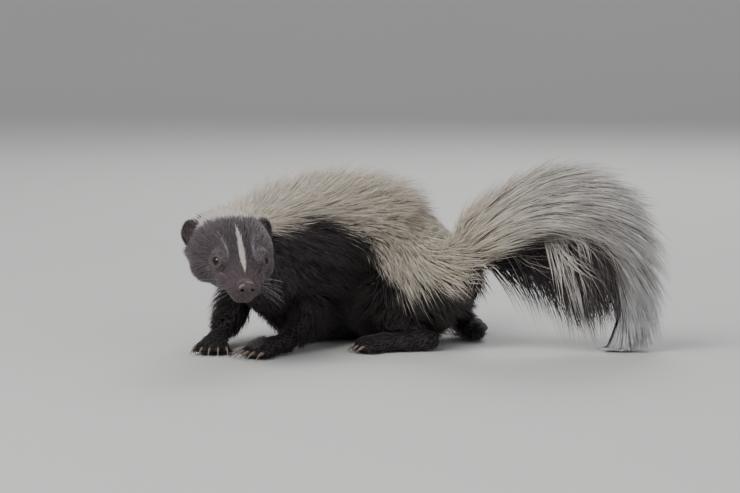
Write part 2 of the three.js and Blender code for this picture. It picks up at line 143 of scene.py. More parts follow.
# Head: where it is and looks, then its forms in its own frame (nose, left, crown)
HEAD_CENTRE = Vector((-0.094, -0.128, 0.080))
HEAD_YAW = math.radians(15)
HEAD_DROP = math.radians(20)
SKULL = (
    (-0.022, 0.0, 0.0005, 0.020, 0.018, 0.018),
    (-0.008, 0.0, 0.001, 0.0275, 0.0215, 0.0225),
    (0.006, 0.0, 0.001, 0.0285, 0.022, 0.0235),
    (0.019, 0.0, 0.0, 0.024, 0.020, 0.0205),
    (0.031, 0.0, -0.001, 0.0175, 0.0155, 0.0155),
    (0.042, 0.0, -0.0025, 0.0125, 0.011, 0.0115),
    (0.051, 0.0, -0.004, 0.0095, 0.0080, 0.0085),
    (0.055, 0.0, -0.0045, 0.0075, 0.0062, 0.0066),
)
HEAD_FORMS = (  # place and half size, each made on both sides
    ((0.010, 0.0190, -0.0065), (0.0140, 0.0090, 0.0105)),  # cheek
    ((0.0485, 0.0056, -0.0068), (0.0080, 0.0062, 0.0054)),  # whisker pad
    ((0.0440, 0.0020, -0.0130), (0.0105, 0.0060, 0.0036)),  # chin
    ((0.0360, 0.0120, -0.0035), (0.0090, 0.0045, 0.0050)),  # between eye and muzzle
)
EAR_AT = Vector((-0.009, 0.0258, 0.0078))
EAR_HALF = Vector((0.0032, 0.0088, 0.0098))
EAR_TURN = (-0.5, -0.3, 0.85)
LID_RING = 0.0040
LID_THICK = 0.00115
LID_STAND = 0.0019
LID_STRETCH = (1.12, 0.90, 1.15, 1)
ORBIT_DEPTH, ORBIT_HALF = 0.0026, (0.0068, 0.0062, 0.0064)
BROW_AT, BROW_HALF = (-0.0036, -0.0012, 0.0046), (0.0050, 0.0046, 0.0022)
EYE_CLEARANCE = 0.0002
GAZE = (0.5, 0.78, 0.36)
MOUTH = (
    (0.031, 0.0195, -0.009),
    (0.040, 0.015, -0.0095),
    (0.049, 0.010, -0.0095),
    (0.0565, 0.0045, -0.0086),
)
MOUTH_MIDDLE = Vector((0.058, 0, -0.0082))
MOUTH_DEPTH, MOUTH_WIDTH = 0.0013, 0.0011
# The fold in the cheek under an eye and the tan streak above its inner corner, from the eye
FOLD = (
    (-0.0095, 0.0045, -0.0045),
    (-0.0040, 0.0030, -0.0080),
    (0.0030, 0.0, -0.0085),
    (0.0090, -0.0035, -0.0062),
)
FOLD_DEPTH, FOLD_WIDTH = 0.0010, 0.0013
STREAK = ((-0.0145, -0.0030, 0.0120), (-0.0060, -0.0062, 0.0085), (0.0010, -0.0068, 0.0030))
NOSE_AT = Vector((0.0570, 0.0, -0.0018))
# Forms of the nose: place from its middle and half size. Wing, nostril and slit are on both sides
NOSE_TOP = ((0, 0, 0.0008), (0.0046, 0.0060, 0.0036))
NOSE_STEM = ((0.0004, 0, -0.0034), (0.0034, 0.0022, 0.0036))
NOSE_WING = ((0.0004, 0.0040, -0.0006), (0.0038, 0.0030, 0.0032))
NOSTRIL = ((0.0036, 0.0036, -0.0004), (0.0034, 0.0011, 0.0013))
NOSE_SLIT = ((0.0020, 0.0060, -0.0016), (0.0034, 0.0020, 0.0006))
NOSE_GROOVE = ((0.0046, 0, -0.0034), (0.0016, 0.0003, 0.0042))
NOSE_VOXEL = 0.00030
# Whiskers: rows on each side of the muzzle, hairs in a row, width, sag and joints of a hair
WHISKER_ROWS, WHISKERS_IN_ROW = 3, 4
WHISKER_WIDTH, WHISKER_SAG, WHISKER_JOINTS = 0.00026, 0.28, 5
# Claw before it is bent: radius at the root and at the tip, its height at the root and its drop
CLAW_RADII = (0.0014, 0.0002)
CLAW_HEIGHT, CLAW_DROP = 0.0046, 0.0048

# The photo's view
CAMERA_AT = Vector((0.004, -2.0585, 0.2783))
CAMERA_TILT = math.radians(90 - 5.82)
CAMERA_LENS = 135.0

# Studio: name, place, size and power of each light, and what they face
LIGHTS = (
    ("key", (-1.1, -1.3, 1.7), 1.3, 42),
    ("fill", (1.6, -1.6, 0.9), 1.6, 11),
    ("rim", (0.4, 1.7, 1.5), 1.2, 22),
)
LIT_POINT = Vector((0.03, -0.06, 0.06))
SKY = (0.93, 0.95, 1.0, 1)
SKY_STRENGTH = 0.45
FLOOR_SIZE = 12.0
FLOOR_BEND_AT = 3.0  # how far behind the model the floor starts to rise
FLOOR_RISE = 0.4


class SKUNK_PG_sizes(bpy.types.PropertyGroup):
    """Lengths and depths of the coat."""

    back_length: FloatProperty(
        name="Back hair", description="Length of the guard hair on the back",
        default=0.044, min=0.01, unit="LENGTH",
    )
    plume_length: FloatProperty(
        name="Plume hair", description="Length of the hair on the tail",
        default=0.064, min=0.02, unit="LENGTH",
    )
    fringe_length: FloatProperty(
        name="Fringe hair", description="Length of the hair that hangs under the tail",
        default=0.080, min=0.02, unit="LENGTH",
    )
    head_length: FloatProperty(
        name="Head hair", description="Length of the hair on the cheeks and crown",
        default=0.0075, min=0.002, unit="LENGTH",
    )
    hair_width: FloatProperty(
        name="Strand width", description="Width of a strand of the long coat at its root",
        default=0.00072, min=0.0002, unit="LENGTH",
    )
    undercoat: FloatProperty(
        name="Undercoat", description="Depth of the skin under the solid core of the trunk",
        default=0.008, min=0.0, unit="LENGTH",
    )
    skin_detail: FloatProperty(
        name="Skin detail", description="Size of the faces of the head's skin",
        default=0.0010, min=0.0004, unit="LENGTH",
    )
    strands: IntProperty(
        name="Strands", description="Number of strands of the whole coat, before shares",
        default=92000, min=1000,
    )


class SKUNK_PG_colours(bpy.types.PropertyGroup):
    """Colours of the coat, nose skin and claws."""

    black_fur: FloatVectorProperty(
        name="Black fur", description="Dark hair", subtype="COLOR", size=3,
        default=(0.010, 0.0075, 0.0085), min=0, max=1,
    )
    # Brown fur is also the colour of the painted highlight at the tips of the dark hair.
    brown_fur: FloatVectorProperty(
        name="Brown fur", description="Dark hair that has faded to brown", subtype="COLOR", size=3,
        default=(0.115, 0.085, 0.072), min=0, max=1,
    )
    cream_fur: FloatVectorProperty(
        name="Cream fur", description="White hair near its root", subtype="COLOR", size=3,
        default=(0.74, 0.63, 0.44), min=0, max=1,
    )
    white_fur: FloatVectorProperty(
        name="White fur", description="White hair at its tip", subtype="COLOR", size=3,
        default=(0.76, 0.77, 0.80), min=0, max=1,
    )
    face_fur: FloatVectorProperty(
        name="Face fur", description="Short fur of the face at its lightest", subtype="COLOR", size=3,
        default=(0.145, 0.104, 0.110), min=0, max=1,
    )
    nose_skin: FloatVectorProperty(
        name="Nose skin", description="Bare skin of the nose", subtype="COLOR", size=3,
        default=(0.052, 0.033, 0.033), min=0, max=1,
    )
    claw_horn: FloatVectorProperty(
        name="Claws", description="Horn of the claws", subtype="COLOR", size=3,
        default=(0.32, 0.25, 0.19), min=0, max=1,
    )


# Centre lines
class Run:
    """A centre line with a frame and half sizes at each of its samples."""

    SAMPLES = 240
    LOOK = 0.05

    def __init__(self, stations, side_of):
        stations = np.array(stations)
        share = np.linspace(0, 1, self.SAMPLES)
        self.share = share
        values = smooth_through(stations, share)
        self.centre = values[:, :3]
        self.half = values[:, 3:]
        ahead = smooth_through(stations[:, :3], np.minimum(1, share + self.LOOK))
        behind = smooth_through(stations[:, :3], np.maximum(0, share - self.LOOK))
        self.along = unit(ahead - behind)
        side = side_of(self.along)
        self.side = unit(side - self.along * dots(side, self.along))
        self.up = np.cross(self.along, self.side)

    def nearest(self, points, batch=20000):
        """Index of the nearest sample to each point, and how far out it is in half sizes."""
        index = np.empty(len(points), int)
        reach = np.empty(len(points))
        size = self.half.mean(axis=1)
        for start in range(0, len(points), batch):
            part = slice(start, start + batch)
            gap = np.linalg.norm(points[part, None] - self.centre[None], axis=2)
            away = gap / size[None]
            index[part] = gap.argmin(axis=1)
            reach[part] = away.min(axis=1)
        return index, reach

    def angle(self, points, index):
        """Angle of each point round the line, 0 at the top and growing towards side."""
        out = points - self.centre[index]
        return np.arctan2(dots(out, self.side[index])[:, 0], dots(out, self.up[index])[:, 0])


def unit(vectors):
    """Vectors of length 1."""
    return vectors / np.maximum(np.linalg.norm(vectors, axis=-1, keepdims=True), 1e-12)


def gap_to(points, place):
    """Distance of each point from one place."""
    return np.linalg.norm(points - np.array(place), axis=1)


def gap_to_line(points, line):
    """Distance of each point from the nearest sample of a line."""
    return np.linalg.norm(points[:, None] - line[None], axis=2).min(axis=1)


def hump(value, middle, half):
    """1 at the middle, falling off smoothly to both sides."""
    return np.exp(-(((value - middle) / half) ** 2))


def dots(a, b):
    """Dot product of each pair, kept as a column."""
    return (a * b).sum(axis=-1, keepdims=True)


def smooth_through(stations, share):
    """Values of a smooth curve through the stations, at shares of its way."""
    stations = np.array(stations)
    before = 2 * stations[:1] - stations[1:2]
    after = 2 * stations[-1:] - stations[-2:-1]
    known = np.vstack([before, stations, after])
    place = np.asarray(share) * (len(stations) - 1)
    start = np.clip(place.astype(int), 0, len(stations) - 2)
    t = (place - start)[:, None]
    a, b, c, d = (known[start + k] for k in range(4))
    bend = 2 * a - 5 * b + 4 * c - d
    return b + 0.5 * t * (c - a + t * (bend + t * (3 * (b - c) + d - a)))


def level_side(along):
    """Sideways for the trunk: level, square to the way it runs."""
    return np.cross(np.broadcast_to([0.0, 0.0, 1.0], along.shape), along)


def far_side(along):
    """Sideways for the tail and head: away from the camera's side."""
    return np.broadcast_to([0.0, 1.0, 0.0], along.shape)


def leg_stations(leg):
    """Stations of a leg from its points and half thicknesses."""
    return [(x, y, z, t * 0.85, t, t) for x, y, z, t in leg["points"]]


def head_matrix():
    """From the head's own frame to the model's."""
    look = Vector(
        (
            math.sin(HEAD_YAW) * math.cos(HEAD_DROP),
            -math.cos(HEAD_YAW) * math.cos(HEAD_DROP),
            -math.sin(HEAD_DROP),
        )
    )
    left = Vector((0, 0, 1)).cross(look).normalized()
    turned = Matrix((look, left, look.cross(left))).transposed()
    return Matrix.LocRotScale(HEAD_CENTRE, turned.to_quaternion(), None)


HEAD = head_matrix()
trunk_run = Run(TRUNK, level_side)
tail_run = Run(TAIL, far_side)
leg_runs = {name: Run(leg_stations(leg), level_side) for name, leg in LEGS.items()}


def mirrored(place, hand):
    """A place in the head's frame on the left (1) or the right (-1)."""
    return Vector((place[0], place[1] * hand, place[2]))


# Modelling helpers
def deselect():
    """Leaves object mode with nothing selected."""
    if bpy.context.object and bpy.context.object.mode != "OBJECT":
        bpy.ops.object.mode_set(mode="OBJECT")
    bpy.ops.object.select_all(action="DESELECT")


def pick(*objects):
    """Selects these objects, with the first one active."""
    deselect()
    for one in objects:
        one.select_set(True)
    bpy.context.view_layer.objects.active = objects[0]


def ball(centre, half, turn=None, segments=20, rings=12):
    """An ellipsoid of half sizes, turned by a rotation matrix."""
    rotation = turn.to_euler() if turn else Euler()
    deselect()
    bpy.ops.mesh.primitive_uv_sphere_add(
        segments=segments, ring_count=rings, radius=1, location=centre, rotation=rotation, scale=half,
    )
    return bpy.context.object


def chain(run, count, depth, stretch=0.8):
    """Balls along a run, whose union is its skin at that depth."""
    balls = []
    for i in np.linspace(0, run.SAMPLES - 1, count).astype(int):
        side, up, down = np.maximum(run.half[i] - depth, 0.0025)
        centre = run.centre[i] + run.up[i] * (up - down) / 2
        height = (up + down) / 2
        turn = Matrix((run.side[i], run.along[i], run.up[i])).transposed()
        balls.append(ball(centre, (side, stretch * min(side, height), height), turn, 18, 12))
    return balls


def merged(objects, name):
    """Joins objects into the first one and places its mesh in the model's frame."""
    pick(*objects)
    bpy.ops.object.join()
    one = bpy.context.object
    one.name = one.data.name = name
    settle(one)
    return one


def settle(one):
    """Puts the object's place into its mesh."""
    pick(one)
    bpy.ops.object.transform_apply(location=True, rotation=True, scale=True)


def apply_modifier(one, kind, **settings):
    """Adds a modifier with these settings and applies it."""
    pick(one)
    modifier = one.modifiers.new(kind.title(), kind)
    for key, value in settings.items():
        setattr(modifier, key, value)
    bpy.ops.object.modifier_apply(modifier=modifier.name)


def fused(one, voxel, smoothing):
    """Fuses overlapping closed forms into one smooth skin."""
    apply_modifier(one, "REMESH", mode="VOXEL", voxel_size=voxel, adaptivity=0.0)
    apply_modifier(one, "SMOOTH", factor=0.5, iterations=smoothing)


def vertices_of(mesh):
    """Vertex places of a mesh."""
    places = np.empty(len(mesh.vertices) * 3)
    mesh.vertices.foreach_get("co", places)
    return places.reshape(-1, 3)


def normals_of(mesh):
    """Vertex normals of a mesh."""
    normals = np.empty(len(mesh.vertices) * 3)
    mesh.vertices.foreach_get("normal", normals)
    return normals.reshape(-1, 3)


def put_vertices(mesh, places):
    """Moves the vertices of a mesh."""
    mesh.vertices.foreach_set("co", places.ravel())
    mesh.update()


def keep_smooth(one):
    """Smooth shading all over."""
    pick(one)
    bpy.ops.object.shade_smooth()


def finish_piece(one, slot, *nodes):
    """Sets what the piece rides on and hides the solids it stands for; its slot is not used."""
    settle(one)
    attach(one, BODY)
    if nodes:
        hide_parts(*nodes)


# Skin
def foot_line(leg):
    """Heel and toes of a foot, and its level ways ahead and across."""
    heel, toes = Vector(leg["heel"]), Vector(leg["toes"])
    ahead = (toes - heel) * Vector((1, 1, 0))
    ahead.normalize()
    return heel, toes, ahead, Vector((0, 0, 1)).cross(ahead)


def foot_forms(leg):
    """Sole and toes of a foot."""
    up = Vector((0, 0, 1))
    heel, toes, ahead, across = foot_line(leg)
    turn = Matrix((ahead, across, up)).transposed()
    length = (toes - heel).length
    forms = []
    for share, wide, high in SOLE_FORMS:
        place = heel.lerp(toes, share)
        place.z = high + 0.0004
        forms.append(ball(place, (0.25 * length, FOOT_WIDTH * wide, high), turn))
    for root, aim in toe_roots(leg):
        digit = Matrix((aim, up.cross(aim), up)).transposed()
        forms.append(ball(root + aim * 0.003, TOE_HALF, digit))
    return forms


def toe_roots(leg):
    """Root and aim of each toe of a foot."""
    _, toes, ahead, across = foot_line(leg)
    for i in range(TOES):
        spread = (i - (TOES - 1) / 2) / ((TOES - 1) / 2)
        root = toes + across * spread * FOOT_WIDTH * 0.82 - ahead * (0.003 + 0.003 * spread ** 2)
        root.z = 0.0040
        yield root, (ahead + across * spread * 0.28).normalized()


def body_skin(sizes):
    """Trunk, tail, legs and feet as one closed skin."""
    forms = chain(trunk_run, 40, sizes.undercoat)
    forms += chain(tail_run, 44, SKIN_UNDER_TAIL_HAIR)
    for name, leg in LEGS.items():
        forms += chain(leg_runs[name], 9, SKIN_UNDER_LEG_HAIR)
        forms += foot_forms(leg)
    body = merged(forms, "body_forms")
    fused(body, BODY_VOXEL, 6)
    return body


def in_head(forms):
    """Moves forms made in the head's frame into the model's."""
    for one in forms:
        one.matrix_world = HEAD @ one.matrix_world
    return forms


def ear_turn(hand):
    """How an ear is turned in the head's frame."""
    return Euler((EAR_TURN[0] * hand, EAR_TURN[1], EAR_TURN[2] * hand)).to_matrix()


def ear_form(hand):
    """The cup of an ear, ready to fuse with the head."""
    turn = ear_turn(hand)
    at = mirrored(EAR_AT, hand)
    shell = ball(at, EAR_HALF, turn, 28, 18)
    scoop = (EAR_HALF.x * 0.9, EAR_HALF.y * 0.74, EAR_HALF.z * 0.76)
    hollow = ball(at + turn @ Vector((EAR_HALF.x * 0.95, 0, 0.001)), scoop, turn, 24, 16)
    cut_with(shell, hollow)
    return shell


def cut_with(one, tool, operation="DIFFERENCE"):
    """Cuts one with the tool, or adds it, and removes the tool."""
    apply_modifier(one, "BOOLEAN", operation=operation, solver="EXACT", object=tool)
    bpy.data.objects.remove(tool)


def eye_place(hand):
    """Centre of the solid eye in the head's frame, its radius and the way it looks."""
    low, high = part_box("eye_left" if hand > 0 else "eye_right")
    centre = HEAD.inverted() @ ((Vector(low) + Vector(high)) / 2)
    radius = (Vector(high) - Vector(low)).x / 2
    gaze = mirrored(GAZE, hand).normalized()
    return centre, radius, gaze


def lid_ring(hand):
    """Both lids as one ring round the eye, lower than it is wide."""
    centre, _, gaze = eye_place(hand)
    deselect()
    bpy.ops.mesh.primitive_torus_add(
        major_segments=40, minor_segments=12, major_radius=LID_RING, minor_radius=LID_THICK,
    )
    ring = bpy.context.object
    ring.matrix_world = (
        Matrix.Translation(centre + gaze * LID_STAND)
        @ gaze.to_track_quat("Z", "Y").to_matrix().to_4x4()
        @ Matrix.Diagonal(LID_STRETCH)
    )
    return ring


def orbit_forms(hand):
    """The flesh that the eye sits in, with the brow over it."""
    centre, _, gaze = eye_place(hand)
    orbit = ball(centre - gaze * ORBIT_DEPTH, ORBIT_HALF)
    brow = ball(centre + mirrored(BROW_AT, hand), BROW_HALF)
    return [orbit, brow]


def head_skin(sizes):
    """Skull, cheeks, brows, muzzle, chin and ears fused into one skin, with the lids set on it."""
    skull = Run(SKULL, far_side)
    forms = chain(skull, 26, 0.0, 0.55)
    for hand in (1, -1):
        forms += [ball(mirrored(place, hand), half) for place, half in HEAD_FORMS]
        forms += orbit_forms(hand)
    forms += [ear_form(hand) for hand in (1, -1)]
    head = merged(in_head(forms), "head_forms")
    fused(head, sizes.skin_detail, 5)
    for hand in (1, -1):
        centre, radius, _ = eye_place(hand)
        cut_with(head, ball(HEAD @ centre, [radius + EYE_CLEARANCE] * 3, None, 32, 20))
    press_line(head, mouth_line(), MOUTH_DEPTH, MOUTH_WIDTH)
    for hand in (1, -1):
        press_line(head, eye_line(FOLD, hand, 50), FOLD_DEPTH, FOLD_WIDTH)
    rings = in_head([lid_ring(hand) for hand in (1, -1)])
    return merged([head, *rings], "head_forms")


def mouth_line():
    """Samples of the line of the mouth, round the muzzle from left to right."""
    left = [mirrored(p, 1) for p in MOUTH]
    right = [mirrored(p, -1) for p in reversed(MOUTH)]
    return line_on_head([*left, MOUTH_MIDDLE, *right], 120)


def eye_line(offsets, hand, count):
    """Samples of a line that is given by its stations from the centre of an eye."""
    centre, _, _ = eye_place(hand)
    return line_on_head([centre + mirrored(offset, hand) for offset in offsets], count)


def line_on_head(stations, count):
    """Samples in the model's frame of a smooth line through stations in the head's."""
    line = smooth_through(stations, np.linspace(0, 1, count))
    return np.array([HEAD @ Vector(p) for p in line])


def press_line(head, line, depth, width):
    """Presses a groove along a line into the skin of the head."""
    places = vertices_of(head.data)
    push = depth * hump(gap_to_line(places, line), 0, width)
    put_vertices(head.data, places - normals_of(head.data) * push[:, None])


# Regions and markings
REGIONS = ("trunk", "tail", "head", "ear", "leg", "foot")

# Edges of the white band, in degrees from the spine at shares of the trunk
NEAR_EDGE = ((0, 0.08, 0.15, 0.20, 0.25, 0.32, 0.42, 0.52, 0.60, 0.68, 0.78, 0.88, 1),
             (46, 42, 34, 29, 26, 33, 42, 51, 61, 73, 84, 86, 104))
FAR_EDGE = ((0, 0.10, 0.28, 0.45, 0.65, 1), (40, 24, 30, 46, 62, 90))
UNDERHAIR_SHARE = 0.25
BLAZE = (0.0125, 0.0490, 0.0018)  # start, end and half width
PLUME_EDGE = ((0, 0.25, 0.6, 1), (2.52, 2.72, 2.70, 2.6))  # on the near side, in radians
PLUME_FAR_EDGE = 2.0
# Tufts that hang below the tail on the near side: place along it, half width, white, brown
TAIL_TUFTS = ((0.14, 0.025, 0.5, 0.3), (0.35, 0.024, 1.0, 0.0), (0.53, 0.070, 0.15, 0.9))
FRINGE_LENGTHS = ((0, 0.1, 0.3, 0.55, 0.8, 1), (0.75, 1.0, 1.15, 1.0, 0.60, 0.45))
TAIL_START = (0.70, -0.45, 0.55)  # the way the tail leaves the rump

# How far each region reaches: the trunk's pull on points between it and a leg or the tail,
# a foot round its line and over the ground, the head round its middle and behind it, an ear
TRUNK_PULL = 0.92
FOOT_REACH, FOOT_TOP, TOE_REACH = 0.0125, 0.0175, 0.012
HEAD_REACH, HEAD_BACK = 0.075, -0.021
EAR_REACH, EAR_SIDE = 0.0105, 0.0245
DOWN = np.array([0, 0, -1.0])


def head_places(points):
    """Points in the head's own frame."""
    turn = np.array(HEAD.to_3x3())
    return (points - np.array(HEAD_CENTRE)) @ turn


def in_region(lie, *names):
    """Which points belong to one of these regions."""
    return np.isin(lie["region"], [REGIONS.index(name) for name in names])


def lie_of(points):
    """What each point of the skin belongs to, where on it, and which way its hair is combed."""
    lie = {"region": np.full(len(points), REGIONS.index("trunk"))}
    index, reach = trunk_run.nearest(points)
    lie["share"] = trunk_run.share[index]
    lie["angle"] = trunk_run.angle(points, index)
    sag = 0.15 + 0.5 * np.abs(np.sin(lie["angle"]))[:, None]
    lie["comb"] = trunk_run.along[index] * (1 - sag) + DOWN * sag
    onward = step(lie["share"], 0.76, 0.92) * step(1.7 - np.abs(lie["angle"]), 0, 0.8)
    lie["comb"] += (np.array(TAIL_START) - lie["comb"]) * onward[:, None]
    best = take_nearer(lie, points, reach * TRUNK_PULL, tail_run, "tail")
    for run in leg_runs.values():
        best = take_nearer(lie, points, best, run, "leg")
    for leg in LEGS.values():
        take_foot(lie, points, leg)
    take_head(lie, head_places(points))
    return lie


def take_nearer(lie, points, best, run, region):
    """Gives a region the points that its run is nearest to, and says how near the nearest is now."""
    index, reach = run.nearest(points)
    mine = reach < best
    lie["region"][mine] = REGIONS.index(region)
    lie["share"][mine] = run.share[index][mine]
    lie["angle"][mine] = run.angle(points, index)[mine]
    lie["comb"][mine] = run.along[index][mine]
    return np.where(mine, reach, best)


def take_foot(lie, points, leg):
    """Gives a foot the points round its line from heel to toes."""
    heel, toes = np.array(leg["heel"]), np.array(leg["toes"])
    length = np.linalg.norm(toes - heel)
    way = unit(toes - heel)
    on = np.clip((points - heel) @ way, 0, length + TOE_REACH)
    gap = np.linalg.norm(points - heel - on[:, None] * way, axis=1)
    mine = (gap < FOOT_REACH) & (points[:, 2] < FOOT_TOP)
    lie["region"][mine] = REGIONS.index("foot")
    lie["share"][mine] = (on / length)[mine]
    lie["comb"][mine] = way * [1, 1, 0] + DOWN * 0.25


def take_head(lie, local):
    """Gives head and ears their points, which are in the head's own frame."""
    head = (local[:, 0] > HEAD_BACK) & (np.linalg.norm(local, axis=1) < HEAD_REACH)
    lie["region"][head] = REGIONS.index("head")
    lie["share"][head] = local[head, 0]
    lie["angle"][head] = np.arctan2(local[head, 1], local[head, 2])
    back = np.array(HEAD.to_3x3()) @ np.array([-1.0, 0, 0])
    low = np.clip(-local[:, 2] / 0.02, -0.3, 1)[head, None]
    lie["comb"][head] = back + DOWN * (0.25 + 0.35 * low)
    for hand in (1, -1):
        ear = (gap_to(local, mirrored(EAR_AT, hand)) < EAR_REACH) & (np.abs(local[:, 1]) > EAR_SIDE)
        lie["region"][ear] = REGIONS.index("ear")
        lie["comb"][ear] = back * 0.4 - DOWN * 0.8


def step(value, start, end):
    """0 below start, 1 above end, smooth between them."""
    t = np.clip((value - start) / (end - start), 0, 1)
    return t * t * (3 - 2 * t)


def wave(points, scale, seed):
    """Slow random change over space, about -1 to 1."""
    draw = np.random.default_rng(seed)
    total = np.zeros(len(points))
    for _ in range(5):
        way = draw.normal(size=3) / scale
        total += np.sin(points @ way + draw.uniform(0, 6.3))
    return total / 2.6


def whiteness(points, lie, jitter=0.0):
    """How white the coat is at each place, with its stripes, cap and blaze."""
    share, angle = lie["share"], lie["angle"]
    drift = wave(points, 0.012, 3) * 0.08 + jitter
    # The band is narrow over the shoulders and reaches far down the near hip.
    near = np.interp(share, *NEAR_EDGE)
    far = np.interp(share, *FAR_EDGE)
    edge = np.radians(np.where(angle < 0, near, far))
    white = step(edge - np.abs(angle) + drift, -0.05, 0.05)
    tail = in_region(lie, "tail")
    reach = np.where(angle < 0, np.interp(share, *PLUME_EDGE), PLUME_FAR_EDGE)
    white[tail] = step(reach - np.abs(angle) + 1.6 * drift, -0.12, 0.12)[tail]
    streaks = step(wave(points, 0.010, 21), 0.62, 0.85)
    white[tail] = np.maximum(white, streaks * (share > 0.25))[tail]
    local = head_places(points)
    head = in_region(lie, "head")
    on_head = cap_white(local, drift) + blaze_white(local, drift)
    white[head] = np.clip(on_head, 0, 1)[head]
    white[in_region(lie, "ear", "leg", "foot")] = 0
    return white


def cap_white(local, drift):
    """The white cap on the crown, from ear to ear, deepest over the animal's right ear."""
    side = local[:, 1]
    front = 0.0032 - 0.12 * np.abs(side) - 0.3 * np.clip(side - 0.006, 0, None)
    width = np.where(side < 0, 0.0235 + side, 0.0130 - side)
    cap = step(front - local[:, 0] + 0.02 * drift, -0.0010, 0.0010)
    cap = cap * step(gap_to(local, mirrored(EAR_AT, -1)), 0.0085, EAR_REACH)
    return cap * step(width + 0.02 * drift, -0.001, 0.002) * (local[:, 2] > 0.010)


def blaze_white(local, drift):
    """The thin white line down the forehead, widest low on it and tapered at both ends."""
    share = np.clip((local[:, 0] - BLAZE[0]) / (BLAZE[1] - BLAZE[0]), 0, 1)
    wide = BLAZE[2] * np.sin(math.pi * share ** 1.25) ** 0.8
    inside = wide - np.abs(local[:, 1] - 0.0006) + 0.0015 * drift
    return step(inside, -0.0003, 0.0003) * (local[:, 2] > 0) * (wide > 0.0001)


# Strands
DENSITY = {"trunk": 0.60, "tail": 1.25, "head": 1.05, "ear": 1.5, "leg": 0.34, "foot": 0.60}
TAIL_UNDERSIDE, UNDERSIDE_DENSER = 2.0, 2.3
NAPE_END, NAPE_THINNER = 0.005, 0.5
FACE_DENSER = 1.6
BARE_BELOW, BARE_ROUND_EYE, BARE_LIP, BARE_NOSE = 0.003, 0.0007, 0.0007, 0.0066
ROOT_DEPTH = 0.0006  # of the root of a strand in the skin
TWIST = 0.10  # how much strands stray to the side of the way they are combed
SAG = 0.05  # how much more a strand turns down at each joint
FOLLOW_TRUNK = 0.22
FLOOR_GAP = 0.0008
PATCH = 0.0015  # half size of a strand's place in the bake map

# Sizes of the hair at shares of the trunk, tail and legs, and at places along the head
BACK_LONGER = ((0, 0.10, 0.22, 0.5, 0.8, 1), (0.42, 0.62, 0.95, 1.0, 1.12, 1.12))
BACK_STAND = ((0, 0.10, 0.22, 0.6, 0.85, 1), (0.008, 0.016, 0.025, 0.025, 0.019, 0.017))
BACK_LIFT = ((0, 0.2, 0.5, 1), (30, 34, 26, 12))
PLUME_LONGER = ((0, 0.1, 0.25, 1), (0.68, 0.88, 1.0, 1.0))
LEG_LENGTH = ((0, 0.4, 0.8, 1), (0.034, 0.026, 0.012, 0.008))
LEG_STAND = ((0, 0.4, 1), (0.012, 0.008, 0.0026))
HEAD_LONGER = ((-0.02, 0.0, 0.015, 0.03, 0.045, 0.055), (1.7, 1.25, 1.0, 0.62, 0.46, 0.36))
HEAD_WIDER = ((-0.02, 0.01, 0.05), (0.85, 0.58, 0.44))
HEAD_STAND = 0.0027
LIFT, HEAD_LIFT = math.radians(20), math.radians(15)


class Strands:
    """Roots on the skin with the normal, bake place and lie of each strand."""

    def __init__(self, skin, count, draw):
        mesh = skin.data
        mesh.calc_loop_triangles()
        corners = np.empty(len(mesh.loop_triangles) * 3, int)
        loops = np.empty(len(mesh.loop_triangles) * 3, int)
        mesh.loop_triangles.foreach_get("vertices", corners)
        mesh.loop_triangles.foreach_get("loops", loops)
        corners, loops = corners.reshape(-1, 3), loops.reshape(-1, 3)
        places, normals = vertices_of(mesh), normals_of(mesh)
        plan = np.empty(len(mesh.loops) * 2)
        mesh.uv_layers["OFBake"].data.foreach_get("uv", plan)
        plan = plan.reshape(-1, 2)
        a, b, c = (places[corners[:, k]] for k in range(3))
        area = np.linalg.norm(np.cross(b - a, c - a), axis=1) / 2
        lie = lie_of((a + b + c) / 3)
        weight = area * root_density((a + b + c) / 3, lie)
        edges = np.cumsum(weight) / weight.sum()
        pick_one = np.searchsorted(edges, (np.arange(count) + draw.uniform(size=count)) / count)
        pick_one = np.minimum(pick_one, len(edges) - 1)
        mix = draw.dirichlet((1, 1, 1), count)[:, :, None]
        self.roots = (places[corners[pick_one]] * mix).sum(axis=1)
        self.normals = unit((normals[corners[pick_one]] * mix).sum(axis=1))
        self.plan = (plan[loops[pick_one]] * mix).sum(axis=1)
        self.lie = lie_of(self.roots)


def root_density(places, lie):
    """Roots to the area in each region, with none near the ground, on eyes, lips or nose."""
    dense = np.array([DENSITY[name] for name in REGIONS])[lie["region"]]
    dense[places[:, 2] < BARE_BELOW] = 0
    dense[in_region(lie, "tail") & (np.abs(lie["angle"]) > TAIL_UNDERSIDE)] *= UNDERSIDE_DENSER
    dense[in_region(lie, "trunk") & (lie["share"] < NAPE_END)] *= NAPE_THINNER
    local = head_places(places)
    head = in_region(lie, "head")
    dense[head & (local[:, 0] > 0.0)] *= FACE_DENSER
    for hand in (1, -1):
        centre, radius, _ = eye_place(hand)
        dense[gap_to(local, centre) < radius + BARE_ROUND_EYE] = 0
    low_face = np.flatnonzero(head & (local[:, 0] > 0.025) & (local[:, 2] < 0))
    dense[low_face[gap_to_line(places[low_face], mouth_line()) < BARE_LIP]] = 0
    dense[np.linalg.norm((local - np.array(NOSE_AT)) / [1, 1, 0.8], axis=1) < BARE_NOSE] = 0
    return dense


def strand_sizes(strands, sizes, draw):
    """Length, width, lift at the root and stand-off at the tip of each strand."""
    lie, count = strands.lie, len(strands.roots)
    length, stand = np.zeros(count), np.zeros(count)
    width = np.full(count, sizes.hair_width)
    lift = np.full(count, LIFT)
    size_trunk(lie, sizes, length, lift, stand)
    size_limbs(lie, sizes, length, width, stand)
    size_head(lie, head_places(strands.roots), sizes, length, width, lift, stand)
    size_tail(lie, sizes, length)
    short = draw.uniform(size=count) < UNDERHAIR_SHARE
    length *= np.where(short, draw.uniform(0.42, 0.66, count), draw.uniform(0.76, 1.16, count))
    width *= draw.uniform(0.7, 1.3, count)
    return length, width, lift, stand


